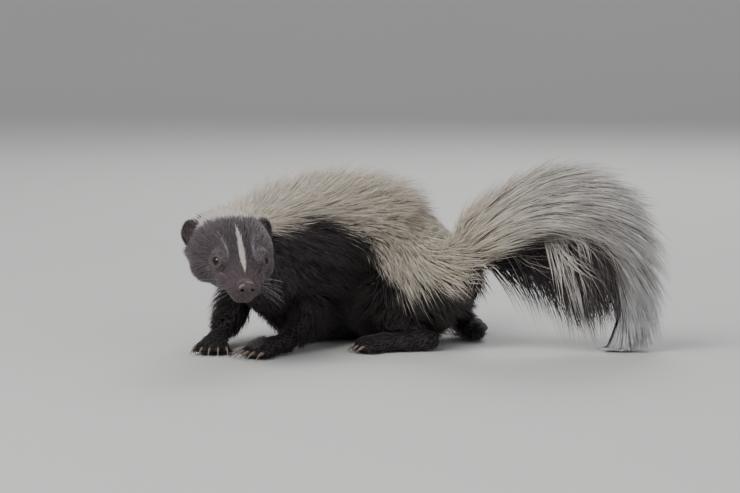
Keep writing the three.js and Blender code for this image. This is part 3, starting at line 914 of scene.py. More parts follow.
def size_trunk(lie, sizes, length, lift, stand):
    """Sizes on the trunk, closer on the upper rump, at the throat and under the belly."""
    share, angle = lie["share"], lie["angle"]
    trunk = in_region(lie, "trunk")
    length[trunk] = (sizes.back_length * np.interp(share, *BACK_LONGER))[trunk]
    stand[trunk] = np.interp(share, *BACK_STAND)[trunk]
    lift[trunk] = np.radians(np.interp(share, *BACK_LIFT))[trunk]
    flatter = trunk * step(angle, -1.1, -0.3) * step(share, 0.53, 0.65) * (1 - step(share, 0.90, 0.99))
    length *= 1 - 0.46 * flatter
    stand *= 1 - 0.76 * flatter
    lift *= 1 - 0.5 * flatter
    length[trunk & (share < NAPE_END)] *= 0.35
    throat = trunk * (1 - step(share, 0.24, 0.34)) * step(np.abs(angle), 1.0, 1.3)
    length *= 1 - 0.55 * throat
    stand *= 1 - 0.55 * throat
    under = trunk & (np.abs(angle) > 2.2)
    length[under] *= 0.5
    stand[under] *= 0.5


def size_limbs(lie, sizes, length, width, stand):
    """Sizes on the legs, shorter towards the ankle, and on the feet."""
    share = lie["share"]
    leg, foot = in_region(lie, "leg"), in_region(lie, "foot")
    length[leg] = np.interp(share, *LEG_LENGTH)[leg]
    width[leg] *= 0.95
    stand[leg] = np.interp(share, *LEG_STAND)[leg]
    length[foot], width[foot], stand[foot] = 0.0060, sizes.hair_width * 0.75, 0.0013


def size_head(lie, local, sizes, length, width, lift, stand):
    """Sizes on the head, fuller at cheek, crown and chin and closer round the ears, and on the ears."""
    head, ear = in_region(lie, "head"), in_region(lie, "ear")
    ahead, high = local[:, 0], local[:, 2]
    aside = np.abs(local[:, 1])
    longer = np.interp(ahead, *HEAD_LONGER)
    cheek = step(-high, 0.0, 0.012) * step(0.03 - ahead, 0, 0.02)
    crown = step(aside, 0.010, 0.018) * step(high, 0.010, 0.016) * step(0.006 - ahead, 0, 0.010)
    beside_ear = step(aside, 0.014, 0.019) * step(high, 0.008, 0.014) * step(0.004 - ahead, 0, 0.008)
    below_ear = step(aside, 0.017, 0.022) * hump(ahead, -0.003, 0.008) * hump(high, -0.002, 0.0065)
    before_ear = step(aside, 0.016, 0.020) * hump(ahead, 0.002, 0.009) * hump(high, 0.006, 0.009)
    chin = step(-high, 0.009, 0.013) * step(ahead, 0.028, 0.036)
    fuller = longer * (
        1 + 0.3 * cheek + 0.2 * crown - 0.6 * beside_ear - 0.4 * before_ear + 0.7 * below_ear + 0.9 * chin
    )
    fluffed = 0.8 + 0.2 * cheek + 0.4 * crown - 0.5 * beside_ear - 0.3 * before_ear + below_ear
    length[head] = (sizes.head_length * fuller)[head]
    width[head] = (sizes.hair_width * np.interp(ahead, *HEAD_WIDER))[head]
    stand[head] = (HEAD_STAND * longer * fluffed)[head]
    lift[head] = HEAD_LIFT
    length[ear], width[ear], stand[ear] = 0.0042, sizes.hair_width * 0.55, 0.0011


def size_tail(lie, sizes, length):
    """Lengths on the tail and of the fringe that hangs under it."""
    share, angle = lie["share"], lie["angle"]
    tail = in_region(lie, "tail")
    length[tail] = (sizes.plume_length * np.interp(share, *PLUME_LONGER))[tail]
    fringe = tail & (np.where(angle < 0, -angle, angle + 0.5) > 2.6)
    length[fringe] = (sizes.fringe_length * np.interp(share, *FRINGE_LENGTHS))[fringe]


def grow(strands, length, lift, stand, skin_tree, joints, draw):
    """Paths of the strands that lie on the body, held a growing distance off its skin."""
    count = len(strands.roots)
    comb = strands.lie["comb"]
    normal = strands.normals
    level = unit(comb - normal * dots(comb, normal))
    twist = draw.normal(0, TWIST, count)[:, None]
    level = unit(level + np.cross(normal, level) * twist)
    heading = level * np.cos(lift)[:, None] + normal * np.sin(lift)[:, None]
    paths = np.empty((count, joints + 1, 3))
    faces = np.empty((count, joints + 1, 3))
    at = strands.roots - normal * ROOT_DEPTH
    paths[:, 0], faces[:, 0] = at, normal
    ragged = draw.uniform(0.55, 1.2, count)
    on_trunk = in_region(strands.lie, "trunk")
    for k in range(1, joints + 1):
        heading = heading + DOWN * (SAG + SAG * k)
        near, _ = trunk_run.nearest(at)
        heading = heading + trunk_run.along[near] * (FOLLOW_TRUNK * on_trunk)[:, None]
        heading = unit(heading)
        at = at + heading * (length / joints)[:, None]
        want = stand * (k / joints) ** 1.15 * ragged
        for i in range(count):
            spot, out, _, _ = skin_tree.find_nearest(at[i])
            off = sum((at[i][axis] - spot[axis]) * out[axis] for axis in range(3))
            at[i] += np.array(out) * (want[i] - off) * (1.0 if off < want[i] else 0.75)
            faces[i, k] = out
        at[:, 2] = np.maximum(at[:, 2], FLOOR_GAP)
        heading = unit(at - paths[:, k - 1])
        paths[:, k] = at
    return paths, faces


def grow_plume(strands, length, joints, draw):
    """Paths of the strands of the tail, which leave it at a lean, fall and follow its bend."""
    lie = strands.lie
    share, angle = lie["share"], lie["angle"]
    index = np.round(share * (tail_run.SAMPLES - 1)).astype(int)
    along, side, up = tail_run.along[index], tail_run.side[index], tail_run.up[index]
    angle = angle + draw.normal(0, 0.12, len(angle))
    out = side * np.sin(angle)[:, None] + up * np.cos(angle)[:, None]
    under = np.clip(-out[:, 2], 0, 1)
    hangs = np.where(angle < 0, step(under, 0.90, 0.98), step(under, 0.40, 0.66))
    droops = np.where(angle < 0, step(under, -0.1, 0.6), 0) * step(share, 0.10, 0.30)
    for middle, half, _, _ in TAIL_TUFTS:
        hangs = np.where((angle < 0) & (under > 0.80) & (np.abs(share - middle) < half), 1.0, hangs)
    toward = np.clip(-out[:, 1], 0, 1)
    length = length * (1 + 0.30 * wave(strands.roots, 0.009, 5) * hangs)
    lean = 32 + 8 * under + 26 * hangs - 8 * toward - 12 * share + 12 * step(0.14 - share, 0, 0.12)
    lean = np.radians(lean) * draw.uniform(0.35, 1.15, len(share))
    heading = along * np.cos(lean)[:, None] + out * np.sin(lean)[:, None]
    at = strands.roots - strands.normals * ROOT_DEPTH
    paths = np.empty((len(share), joints + 1, 3))
    faces = np.empty_like(paths)
    scale = 3 / joints
    for k in range(joints + 1):
        paths[:, k] = at
        faces[:, k] = unit(out - heading * dots(out, heading))
        ahead = np.minimum(tail_run.SAMPLES - 1, index + int(k / joints * 0.22 * tail_run.SAMPLES))
        fall = (0.04 + 0.15 * droops + 0.70 * hangs + (0.05 + 0.05 * hangs) * k * scale) * scale
        heading = heading + tail_run.along[ahead] * ((0.3 - 0.2 * hangs) * scale)[:, None]
        heading[:, 2] -= fall
        heading = unit(heading)
        at = at + heading * (length / joints)[:, None]
        at[:, 2] = np.maximum(at[:, 2], 0.0010 + 0.002 * draw.uniform(size=len(at)))
    return paths, faces


def clump(paths, roots, every, pull):
    """Draws strands towards the nearest of a few guides, most at their tips."""
    guides = np.arange(0, len(roots), every)
    tree = KDTree(len(guides))
    for i in guides:
        tree.insert(roots[i], int(i))
    tree.balance()
    guide = np.array([tree.find(r)[1] for r in roots])
    joints = paths.shape[1] - 1
    share = (np.arange(joints + 1) / joints) ** 1.3 * pull
    return paths + (paths[guide] - paths) * share[None, :, None]


def strand_mesh(name, paths, faces, width, plan, marks):
    """One mesh of closed three-sided tapered strands, with their marks and bake map."""
    count, rings = paths.shape[0], paths.shape[1] - 1
    ahead = unit(np.gradient(paths, axis=1))
    across = unit(np.cross(ahead, faces))
    off = np.cross(across, ahead)
    share = np.arange(rings) / rings
    taper = np.sqrt(1 - share ** 1.6) * np.minimum(1, 0.7 + share * 1.5)
    half = width[:, None, None] * taper[None, :, None] / 2
    ring = np.stack(
        [
            paths[:, :rings] - across[:, :rings] * half - off[:, :rings] * half * 0.25,
            paths[:, :rings] + across[:, :rings] * half - off[:, :rings] * half * 0.25,
            paths[:, :rings] + off[:, :rings] * half * 0.5,
        ],
        axis=2,
    )
    body = ring.reshape(count, rings * 3, 3)
    places = np.concatenate([body, paths[:, -1:]], axis=1)
    each = rings * 3 + 1
    template, totals = [[0, 2, 1]], [3]
    for k in range(rings - 1):
        for j in range(3):
            n = (j + 1) % 3
            template.append([k * 3 + j, k * 3 + n, k * 3 + 3 + n, k * 3 + 3 + j])
            totals.append(4)
    for j in range(3):
        template.append([rings * 3 - 3 + j, rings * 3 - 3 + (j + 1) % 3, rings * 3])
        totals.append(3)
    corners = np.concatenate(template)
    loops = (corners[None] + (np.arange(count) * each)[:, None]).ravel()
    totals = np.tile(totals, count)
    mesh = bpy.data.meshes.new(name)
    mesh.vertices.add(count * each)
    mesh.vertices.foreach_set("co", places.ravel())
    mesh.loops.add(len(loops))
    mesh.loops.foreach_set("vertex_index", loops.astype(np.int32))
    mesh.polygons.add(len(totals))
    starts = np.concatenate([[0], np.cumsum(totals)[:-1]])
    mesh.polygons.foreach_set("loop_start", starts.astype(np.int32))
    mesh.polygons.foreach_set("use_smooth", np.ones(len(totals), bool))
    mesh.update(calc_edges=True)
    along = np.append(np.repeat(share, 3), 1.0)
    put_mark(mesh, "along", np.tile(along, count))
    for key, value in marks.items():
        put_mark(mesh, key, np.repeat(value, each))
    aside = np.append(np.tile([-1.0, 1.0, 0.0], rings), 0.0)
    patch = np.stack([aside, along * 2 - 1], axis=1) * PATCH
    spot = plan[:, None] + patch[None]
    layer = mesh.uv_layers.new(name="OFBake")
    layer.data.foreach_set("uv", spot.reshape(-1, 2)[loops].ravel())
    mesh.validate()
    piece = bpy.data.objects.new(name, mesh)
    bpy.context.scene.collection.objects.link(piece)
    return piece


def put_mark(mesh, name, values):
    """Writes one number for each vertex."""
    layer = mesh.attributes.new(name, "FLOAT", "POINT")
    layer.data.foreach_set("value", np.asarray(values, np.float32))


# Finishes
class Finish:
    """A material's node tree, with short ways to add and join nodes."""

    def __init__(self, name):
        self.material = bpy.data.materials.new(name)
        self.material.use_nodes = True
        self.tree = self.material.node_tree
        self.shader = self.tree.nodes["Principled BSDF"]

    def node(self, kind, **settings):
        """Adds a node and sets its properties."""
        one = self.tree.nodes.new("ShaderNode" + kind)
        for key, value in settings.items():
            setattr(one, key, value)
        return one

    def join(self, source, target):
        """Links an output to an input."""
        self.tree.links.new(source, target)

    def mark(self, name):
        """The number that the mesh carries under this name."""
        return self.node("Attribute", attribute_name=name).outputs["Fac"]

    def math(self, operation, a, b, clamp=False):
        """Joins two numbers or outputs."""
        one = self.node("Math", operation=operation, use_clamp=clamp)
        for socket, value in zip(one.inputs, (a, b)):
            self.feed(socket, value)
        return one.outputs[0]

    def mix(self, share, a, b, blend="MIX"):
        """Mixes two colours or outputs."""
        one = self.node("Mix", data_type="RGBA", blend_type=blend)
        self.feed(one.inputs["Factor"], share)
        self.feed(one.inputs["A"], a)
        self.feed(one.inputs["B"], b)
        return one.outputs["Result"]

    def feed(self, socket, value):
        """Sets a socket to a number or colour, or links an output to it."""
        if isinstance(value, bpy.types.NodeSocket):
            self.join(value, socket)
        elif hasattr(value, "__len__"):
            socket.default_value = (*value, 1.0)[:4]
        else:
            socket.default_value = value

    def grain(self, scale, detail=3.0):
        """Noise on the model's own coordinates."""
        where = self.node("TexCoord").outputs["Object"]
        noise = self.node("TexNoise")
        noise.inputs["Scale"].default_value = scale
        noise.inputs["Detail"].default_value = detail
        self.join(where, noise.inputs["Vector"])
        return noise.outputs["Fac"]

    def bump(self, height, strength, distance):
        """Raises the surface by a pattern."""
        one = self.node("Bump")
        one.inputs["Strength"].default_value = strength
        one.inputs["Distance"].default_value = distance
        self.join(height, one.inputs["Height"])
        self.join(one.outputs["Normal"], self.shader.inputs["Normal"])

    def set(self, **values):
        """Sets the shader's own sockets, by name with _ for a space."""
        for key, value in values.items():
            self.feed(self.shader.inputs[key.replace("_", " ")], value)


def coat_finish(colours):
    """Hair by the marks of each strand: cream to cool white, black to brown (faded hair, and a painted
    highlight at the tips), or the face's brown.
    """
    finish = Finish("coat_hair")
    along, vary = finish.mark("along"), finish.mark("vary")
    tip = finish.math("MULTIPLY", along, 0.45)
    cool = finish.math("ADD", tip, finish.mark("cool"), True)
    pale = finish.mix(cool, colours.cream_fur, colours.white_fur)
    # Painted highlight: dark hair turns towards brown at its tip. Its brown mark is faded hair.
    fade_and_tip_highlight = finish.math("ADD", finish.math("MULTIPLY", along, 0.22), finish.mark("brown"), True)
    dark = finish.mix(fade_and_tip_highlight, colours.black_fur, colours.brown_fur)
    dark = finish.mix(finish.mark("face"), dark, colours.face_fur)
    colour = finish.mix(finish.mark("white"), dark, pale)
    patchy = finish.math("MULTIPLY", finish.grain(240.0), 0.35)
    shade = finish.math("ADD", finish.math("MULTIPLY", vary, 0.35), finish.math("ADD", patchy, 0.60))
    grey = finish.node("CombineColor")
    for socket in grey.inputs[:3]:
        finish.join(shade, socket)
    colour = finish.mix(1.0, colour, grey.outputs[0], "MULTIPLY")
    finish.set(Base_Color=colour, Specular_IOR_Level=0.25)
    finish.set(Sheen_Weight=0.25, Sheen_Roughness=0.5, Sheen_Tint=(0.80, 0.72, 0.80))
    rough = finish.math("ADD", finish.math("MULTIPLY", finish.grain(900.0), 0.2), 0.46)
    finish.set(Roughness=rough)
    return finish.material


def skin_finish(colours):
    """Undercoat over skin, in the coat's markings and a little darker."""
    finish = Finish("skin_undercoat")
    dark = finish.mix(finish.mark("face"), colours.black_fur, [c * 0.45 for c in colours.face_fur])
    shades = finish.mix(finish.mark("white"), dark, [c * 0.80 for c in colours.cream_fur])
    bare = finish.mix(finish.grain(420.0), (0.150, 0.112, 0.110), (0.070, 0.050, 0.052))
    colour = finish.mix(finish.mark("bare"), shades, bare)
    finish.set(Base_Color=colour, Roughness=0.78, Specular_IOR_Level=0.25)
    finish.bump(finish.grain(1500.0, 5.0), 0.5, 0.0004)
    return finish.material


def eye_finish():
    """Wet eye: black pupil in a dark brown iris, by the way round from the gaze."""
    finish = Finish("wet_eye")
    plan = finish.node("UVMap", uv_map="UVMap").outputs["UV"]
    split = finish.node("SeparateXYZ")
    finish.join(plan, split.inputs[0])
    pole = split.outputs["Y"]
    rim = finish.math("MULTIPLY", finish.math("SUBTRACT", pole, 0.62), 12.0)
    iris = finish.math("SMOOTH_MIN", 1.0, rim, True)
    pupil = finish.math("MULTIPLY", finish.math("SUBTRACT", pole, 0.80), 40.0, True)
    fleck = finish.mix(finish.grain(2600.0), (0.030, 0.014, 0.008), (0.012, 0.006, 0.004))
    ring = finish.mix(iris, (0.006, 0.004, 0.004), fleck)
    finish.set(Base_Color=finish.mix(pupil, ring, (0.001, 0.001, 0.001)), Roughness=0.10)
    finish.set(Coat_Weight=0.35, Coat_Roughness=0.02, Specular_IOR_Level=0.25)
    return finish.material


def nose_finish(colours):
    """Bare damp skin with fine pebbles, and painted shade in the grooves between them."""
    finish = Finish("nose_leather")
    where = finish.node("TexCoord").outputs["Object"]
    cells = finish.node("TexVoronoi", feature="DISTANCE_TO_EDGE")
    cells.inputs["Scale"].default_value = 1400.0
    finish.join(where, cells.inputs["Vector"])
    pebble = cells.outputs["Distance"]
    # Painted shade: the grooves between the pebbles are made darker.
    painted_groove_shade = [c * 0.45 for c in colours.nose_skin]
    pink = [min(1.0, c * 1.7) for c in colours.nose_skin]
    base = finish.mix(finish.grain(300.0), colours.nose_skin, pink)
    colour = finish.mix(finish.math("MULTIPLY", pebble, 5.0, True), painted_groove_shade, base)
    finish.set(Base_Color=colour, Roughness=0.36, Specular_IOR_Level=0.5)
    finish.set(Coat_Weight=0.25, Coat_Roughness=0.25)
    finish.bump(pebble, 0.55, 0.0003)
    return finish.material


def claw_finish(colours):
    """Horn with streaks along the claw."""
    finish = Finish("claw_horn")
    streak = finish.grain(700.0, 4.0)
    dark = [c * 0.35 for c in colours.claw_horn]
    colour = finish.mix(streak, dark, colours.claw_horn)
    finish.set(Base_Color=colour, Roughness=0.38)
    finish.bump(streak, 0.25, 0.0002)
    return finish.material


def whisker_finish(colours):
    """Stiff pale hair, brown at the root."""
    finish = Finish("whisker_hair")
    colour = finish.mix(finish.mark("along"), colours.brown_fur, colours.white_fur)
    rough = finish.math("ADD", finish.math("MULTIPLY", finish.grain(600.0), 0.1), 0.3)
    finish.set(Base_Color=colour, Roughness=rough)
    return finish.material


# Pieces
SKIN_STANDS_FOR = (
    "head", "ear_left", "ear_right", "neck", "chest", "rump", "tail_base", "tail_middle", "tail_end",
    "foreleg_left", "foreleg_right", "hindleg_left", "hindleg_right",
    "forefoot_left", "forefoot_right", "hindfoot_left", "hindfoot_right",
)
HANDS = {"left": 1, "right": -1}
TRUNK_PARTS = (0, 0.3, 0.5, 0.7, 1.01)
PLUME_PARTS = (0, 0.18, 0.38, 0.62, 1.01)


class SKUNK_OT_skin(bpy.types.Operator):
    """Fuses the forms of head, trunk, tail, legs and feet into one skin"""

    bl_idname = "skunk.skin"
    bl_label = "Skin"

    def execute(self, context):
        sizes = context.scene.skunk_sizes
        skin = body_skin(sizes)
        cut_with(skin, head_skin(sizes), "UNION")
        skin.name = skin.data.name = "skin"
        keep_smooth(skin)
        bpy.ops.object.mode_set(mode="EDIT")
        bpy.ops.mesh.select_all(action="SELECT")
        bpy.ops.uv.smart_project(angle_limit=math.radians(66), island_margin=0.002)
        bpy.ops.object.mode_set(mode="OBJECT")
        while len(skin.data.uv_layers) > 1:
            skin.data.uv_layers.remove(skin.data.uv_layers[-1])
        skin.data.uv_layers[0].name = "OFBake"
        places = vertices_of(skin.data)
        lie = lie_of(places)
        put_mark(skin.data, "white", whiteness(places, lie))
        put_mark(skin.data, "bare", bare_skin(places))
        put_mark(skin.data, "face", in_region(lie, "head") * 1.0)
        skin.data.materials.clear()
        skin.data.materials.append(skin_finish(context.scene.skunk_colours))
        finish_piece(skin, "black_fur", *SKIN_STANDS_FOR)
        return {"FINISHED"}


def bare_skin(places):
    """Where the skin shows: lids, lips and the rim of the nose."""
    local = head_places(places)
    bare = np.zeros(len(places))
    bare = np.maximum(bare, 1 - step(eye_gap(places), 0.0008, 0.0020))
    bare = np.maximum(bare, 1 - step(gap_to(local, NOSE_AT), 0.0060, 0.0074))
    close = np.linalg.norm(local, axis=1) < HEAD_REACH
    gap = gap_to_line(places[close], mouth_line())
    bare[close] = np.maximum(bare[close], 1 - step(gap, 0.0006, 0.0016))
    return bare


class SKUNK_OT_eyes(bpy.types.Operator):
    """Makes the two eyes in the sockets of the solid head"""

    bl_idname = "skunk.eyes"
    bl_label = "Eyes"

    def execute(self, context):
        finish = eye_finish()
        for word, hand in HANDS.items():
            centre, radius, gaze = eye_place(hand)
            eye = ball(centre, [radius] * 3, gaze.to_track_quat("Z", "Y").to_matrix(), 48, 32)
            in_head([eye])
            settle(eye)
            eye.name = eye.data.name = "eyeball_" + word
            keep_smooth(eye)
            eye.data.materials.append(finish)
            finish_piece(eye, "eye", "eye_" + word)
        return {"FINISHED"}


class SKUNK_OT_nose(bpy.types.Operator):
    """Makes the bare pad of the nose with its two nostrils"""

    bl_idname = "skunk.nose"
    bl_label = "Nose"

    def execute(self, context):
        forms = [nose_form(NOSE_TOP, 1, None, 32, 20), nose_form(NOSE_STEM)]
        forms += [nose_form(NOSE_WING, hand) for hand in (1, -1)]
        pad = merged(forms, "nose_pad")
        fused(pad, NOSE_VOXEL, 3)
        for hand in (1, -1):
            turn = Euler((hand * 0.5, 0.1, hand * 0.7)).to_matrix()
            cut_with(pad, nose_form(NOSTRIL, hand, turn))
            cut_with(pad, nose_form(NOSE_SLIT, hand, turn))
        cut_with(pad, nose_form(NOSE_GROOVE))
        keep_smooth(pad)
        pad.data.materials.append(nose_finish(context.scene.skunk_colours))
        finish_piece(pad, "nose_skin", "nose")
        return {"FINISHED"}


def nose_form(form, hand=1, turn=None, segments=20, rings=12):
    """One form of the nose in the model's frame."""
    place, half = form
    return in_head([ball(NOSE_AT + mirrored(place, hand), half, turn, segments, rings)])[0]


class SKUNK_OT_claws(bpy.types.Operator):
    """Models one curved claw and sets a copy of it on each toe"""

    bl_idname = "skunk.claws"
    bl_label = "Claws"

    def execute(self, context):
        deselect()
        root_radius, tip_radius = CLAW_RADII
        bpy.ops.mesh.primitive_cone_add(
            vertices=10, radius1=root_radius, radius2=tip_radius, depth=1.0, end_fill_type="TRIFAN",
        )
        bpy.ops.object.mode_set(mode="EDIT")
        bpy.ops.mesh.select_all(action="SELECT")
        bpy.ops.mesh.subdivide(number_cuts=3)
        bpy.ops.object.mode_set(mode="OBJECT")
        pattern = bpy.context.object
        shape = vertices_of(pattern.data)
        claws = []
        for leg in LEGS.values():
            for root, aim in toe_roots(leg):
                claw = pattern.copy()
                claw.data = pattern.data.copy()
                bpy.context.scene.collection.objects.link(claw)
                put_vertices(claw.data, claw_places(shape, root + aim * CLAW_ROOT, aim, leg["claw"]))
                claws.append(claw)
        bpy.data.objects.remove(pattern)
        piece = merged(claws, "claws")
        keep_smooth(piece)
        piece.data.materials.append(claw_finish(context.scene.skunk_colours))
        finish_piece(piece, "claw")
        return {"FINISHED"}


def claw_places(shape, root, aim, length):
    """The pattern claw bent down along its aim from its root."""
    share = (shape[:, 2:3] + 0.5).clip(0, 1)
    up = np.array([0, 0, 1.0])
    across = np.cross(up, np.array(aim))
    high = CLAW_HEIGHT + 0.0012 * np.sin(share * 2.2) - CLAW_DROP * share ** 2.2
    line = np.array(root) * [1, 1, 0] + np.array(aim) * length * share + high * up
    return line + across * shape[:, :1] * 0.85 + up * 1.25 * shape[:, 1:2]


class SKUNK_OT_whiskers(bpy.types.Operator):
    """Sets the whiskers on the muzzle pads"""

    bl_idname = "skunk.whiskers"
    bl_label = "Whiskers"

    def execute(self, context):
        draw = np.random.default_rng(SEED + 5)
        roots, ways, lengths = [], [], []
        for hand in (1, -1):
            for row in range(WHISKER_ROWS):
                for i in range(WHISKERS_IN_ROW):
                    at = Vector((0.052 - 0.0032 * i, hand * (0.0088 + 0.0011 * i), -0.0035 - 0.0022 * row))
                    way = Vector((-0.15 - 0.16 * i, hand, -0.10 - 0.22 * row + draw.normal(0, 0.08)))
                    roots.append(HEAD @ at)
                    ways.append((HEAD.to_3x3() @ way).normalized())
                    lengths.append(0.016 + 0.0036 * i + draw.uniform(0, 0.006))
        roots, ways, lengths = np.array(roots), np.array(ways), np.array(lengths)
        paths = np.empty((len(roots), WHISKER_JOINTS + 1, 3))
        for k in range(WHISKER_JOINTS + 1):
            share = k / WHISKER_JOINTS
            paths[:, k] = roots + ways * (lengths * share)[:, None]
            paths[:, k, 2] -= lengths * WHISKER_SAG * share ** 2
        faces = np.broadcast_to([0.0, 0.0, 1.0], paths.shape)
        plan = np.stack([np.linspace(0.05, 0.95, len(roots)), np.full(len(roots), 0.5)], axis=1)
        width = np.full(len(roots), WHISKER_WIDTH)
        piece = strand_mesh("whiskers", paths, faces, width, plan, {})
        piece.data.materials.append(whisker_finish(context.scene.skunk_colours))
        finish_piece(piece, "white_fur")
        return {"FINISHED"}


class SKUNK_OT_coat(bpy.types.Operator):
    """Grows the coat on the skin, combed, clumped and marked, in several pieces"""

    bl_idname = "skunk.coat"
    bl_label = "Coat"

    def execute(self, context):
        sizes = context.scene.skunk_sizes
        draw = np.random.default_rng(SEED)
        skin = bpy.data.objects["skin"]
        strands = Strands(skin, sizes.strands // (1), draw)
        length, width, lift, stand = strand_sizes(strands, sizes, draw)
        width = width * 1.0
        tree = BVHTree.FromObject(skin, context.evaluated_depsgraph_get())
        marks = strand_marks(strands, draw)
        finish = coat_finish(context.scene.skunk_colours)
        for name, chosen, joints, every, pull in coat_pieces(strands):
            part = part_of(strands, chosen)
            if name.startswith("coat_plume"):
                paths, faces = grow_plume(part, length[chosen], joints, draw)
            else:
                own_sizes = (values[chosen] for values in (length, lift, stand))
                paths, faces = grow(part, *own_sizes, tree, joints, draw)
            if every:
                paths = clump(paths, part.roots, every, pull)
            own = {key: value[chosen] for key, value in marks.items()}
            piece = strand_mesh(name, paths, faces, width[chosen], part.plan, own)
            piece.data.materials.append(finish)
            finish_piece(piece, "white_fur" if own["white"].mean() > 0.5 else "black_fur")
        return {"FINISHED"}


def part_of(strands, chosen):
    """The chosen strands alone."""
    part = object.__new__(Strands)
    for key in ("roots", "normals", "plan"):
        setattr(part, key, getattr(strands, key)[chosen])
    part.lie = {key: value[chosen] for key, value in strands.lie.items()}
    return part


def coat_pieces(strands):
    """Name, strands, joints, strands to a clump and its pull, for each piece of the coat."""
    lie = strands.lie
    share, angle = lie["share"], lie["angle"]
    trunk, tail = in_region(lie, "trunk"), in_region(lie, "tail")
    head, leg = in_region(lie, "head", "ear"), in_region(lie, "leg", "foot")
    sides = (("near", angle < 0), ("far", angle >= 0))
    for i, (start, end) in enumerate(zip(TRUNK_PARTS, TRUNK_PARTS[1:])):
        for word, side in sides:
            chosen = trunk & side & (share >= start) & (share < end)
            yield f"coat_trunk_{i + 1}_{word}", np.flatnonzero(chosen), 3, 10, 0.45
    for i, (start, end) in enumerate(zip(PLUME_PARTS, PLUME_PARTS[1:])):
        chosen = tail & (share >= start) & (share < end)
        yield f"coat_plume_{i + 1}", np.flatnonzero(chosen), 4, 12, 0.5
    for word, side in sides:
        yield "coat_head_" + word, np.flatnonzero(head & side), 2, 0, 0
    yield "coat_legs", np.flatnonzero(leg), 3, 7, 0.4


STRAY_SHARE = 0.035  # of black hair in the plume
NEAR_UNDERSIDE = -2.45
TAIL_COOL = ((0, 0.3, 1), (0, 0.25, 0.75))
HEAD_COOL = ((0.004, 0.014), (0.30, 0.45))
EAR_BROWN = 0.55


def strand_marks(strands, draw):
    """Shares of white, of brown and of the face's fur, coolness and a random shade of each strand."""
    lie, roots = strands.lie, strands.roots
    count = len(roots)
    white = whiteness(roots, lie, draw.normal(0, 0.05, count))
    share = lie["share"]
    head, ear, tail = (in_region(lie, name) for name in ("head", "ear", "tail"))
    ahead, aside, high = head_places(roots).T
    stray = tail & (draw.uniform(size=count) < STRAY_SHARE)
    white[stray] = 0
    near_under = tail & (lie["angle"] < NEAR_UNDERSIDE)
    cool = np.where(tail, np.interp(share, *TAIL_COOL), 0.0)
    cool = np.where(head, np.interp(ahead, *HEAD_COOL), cool)
    brown = draw.uniform(0, 0.12, count)
    brown = np.where(tail, np.clip(wave(roots, 0.016, 12) * 0.5 + 0.15, 0, 0.7), brown)
    for middle, half, tuft_white, tuft_brown in TAIL_TUFTS:
        tuft = near_under & (np.abs(share - middle) < half * draw.uniform(0.3, 1.5, count))
        white[tuft] = tuft_white
        brown[tuft] = tuft_brown
    brown = np.where(ear, EAR_BROWN, brown)
    face = 0.18 + 0.40 * step(ahead, 0.030, 0.050) - 0.10 * step(-ahead, -0.004, 0.012)
    face += 0.20 * step(np.abs(aside), 0.005, 0.014) + 0.18 * step(-high, -0.006, 0.006)
    face = np.clip(face + draw.normal(0, 0.20, count), 0, 1) * head
    face = np.where(ear, ear_rim(roots), face)
    pale = 0.42 * hump(line_gap(roots, STREAK, 30), 0, 0.0012)
    pale += 0.22 * hump(line_gap(roots, FOLD, 50), 0, 0.0010)
    pale += 0.14 * hump(eye_gap(roots), 0.0020, 0.0010)
    white = np.where(head, np.maximum(white, pale), white)
    brown = np.where(head, 0, brown)
    return {"white": white, "cool": cool, "brown": brown, "face": face, "vary": draw.uniform(size=count)}


def ear_rim(points):
    """How close each point is to the rim of the nearer ear, from 0 to 1."""
    local = head_places(points)
    rims = []
    for hand in (1, -1):
        own = (local - np.array(mirrored(EAR_AT, hand))) @ np.array(ear_turn(hand))
        rims.append(np.hypot(own[:, 1] / EAR_HALF.y, own[:, 2] / EAR_HALF.z))
    return 0.7 * step(np.minimum(*rims), 0.78, 0.95)


def eye_gap(points):
    """Distance of each point from the surface of the nearer eye."""
    local = head_places(points)
    gaps = []
    for hand in (1, -1):
        centre, radius, _ = eye_place(hand)
        gaps.append(gap_to(local, centre) - radius)
    return np.minimum(*gaps)


def line_gap(points, offsets, count):
    """Distance of each point from the nearer of two lines, each given from the centre of an eye."""
    return np.minimum(*(gap_to_line(points, eye_line(offsets, hand, count)) for hand in (1, -1)))


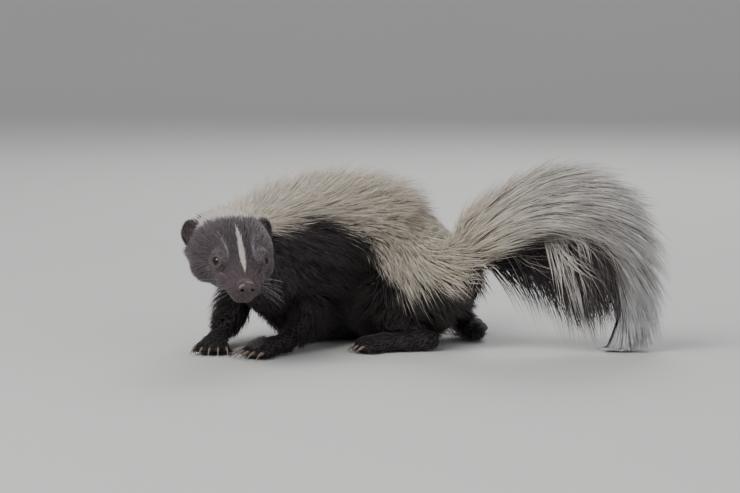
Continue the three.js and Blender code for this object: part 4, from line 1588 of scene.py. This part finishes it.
class SKUNK_OT_stage(bpy.types.Operator):
    """Lays the pale floor and sets the soft lights and the camera"""

    bl_idname = "skunk.stage"
    bl_label = "Stage"

    def execute(self, context):
        deselect()
        bpy.ops.mesh.primitive_grid_add(x_subdivisions=2, y_subdivisions=24, size=1)
        floor = bpy.context.object
        floor.name = "stage_floor"
        places = vertices_of(floor.data)
        places *= [FLOOR_SIZE, FLOOR_SIZE, 1.0]
        places[:, 2] = np.clip(places[:, 1] - FLOOR_BEND_AT, 0, None) ** 2 * FLOOR_RISE
        put_vertices(floor.data, places)
        keep_smooth(floor)
        finish = Finish("stage_paper")
        pale = finish.mix(finish.grain(1.5), (0.58, 0.57, 0.55), (0.62, 0.61, 0.59))
        finish.set(Base_Color=pale, Roughness=0.9)
        floor.data.materials.append(finish.material)
        for light in LIGHTS:
            soft_light(*light)
        world = bpy.data.worlds.new("studio")
        world.use_nodes = True
        sky = world.node_tree.nodes["Background"]
        sky.inputs["Color"].default_value = SKY
        sky.inputs["Strength"].default_value = SKY_STRENGTH
        context.scene.world = world
        camera = bpy.data.objects.new("camera", bpy.data.cameras.new("camera"))
        camera.data.lens = CAMERA_LENS
        camera.data.clip_start = 0.05
        camera.location = CAMERA_AT
        camera.rotation_euler = (CAMERA_TILT, 0, 0)
        context.scene.collection.objects.link(camera)
        context.scene.camera = camera
        return {"FINISHED"}


def soft_light(name, place, size, power):
    """A square light that faces the model."""
    light = bpy.data.objects.new("light_" + name, bpy.data.lights.new("light_" + name, "AREA"))
    light.data.size = size
    light.data.energy = power
    light.location = place
    aim = LIT_POINT - Vector(place)
    light.rotation_euler = aim.to_track_quat("-Z", "Y").to_euler()
    bpy.context.scene.collection.objects.link(light)


OPERATORS = (
    SKUNK_OT_stage,
    SKUNK_OT_skin,
    SKUNK_OT_eyes,
    SKUNK_OT_nose,
    SKUNK_OT_claws,
    SKUNK_OT_whiskers,
    SKUNK_OT_coat,
)


class SKUNK_PT_panel(bpy.types.Panel):
    """Sizes, colours and pieces of the skunk"""

    bl_label = "Skunk"
    bl_idname = "SKUNK_PT_panel"
    bl_space_type = "VIEW_3D"
    bl_region_type = "UI"
    bl_category = "Skunk"

    def draw(self, context):
        layout = self.layout
        for group in (context.scene.skunk_sizes, context.scene.skunk_colours):
            box = layout.box()
            for key in group.__annotations__:
                box.prop(group, key)
        for operator in OPERATORS:
            layout.operator(operator.bl_idname)


CLASSES = (SKUNK_PG_sizes, SKUNK_PG_colours, *OPERATORS, SKUNK_PT_panel)


def register():
    """Registers the classes and puts the settings on the scene."""
    for one in CLASSES:
        bpy.utils.register_class(one)
    bpy.types.Scene.skunk_sizes = PointerProperty(type=SKUNK_PG_sizes)
    bpy.types.Scene.skunk_colours = PointerProperty(type=SKUNK_PG_colours)


def unregister():
    """Takes the settings and the classes away."""
    del bpy.types.Scene.skunk_colours
    del bpy.types.Scene.skunk_sizes
    for one in reversed(CLASSES):
        bpy.utils.unregister_class(one)


def main():
    """Makes the pieces in order."""
    register()
    for operator in OPERATORS:
        group, name = operator.bl_idname.split(".")
        getattr(getattr(bpy.ops, group), name)()


if __name__ == "__main__":
    main()
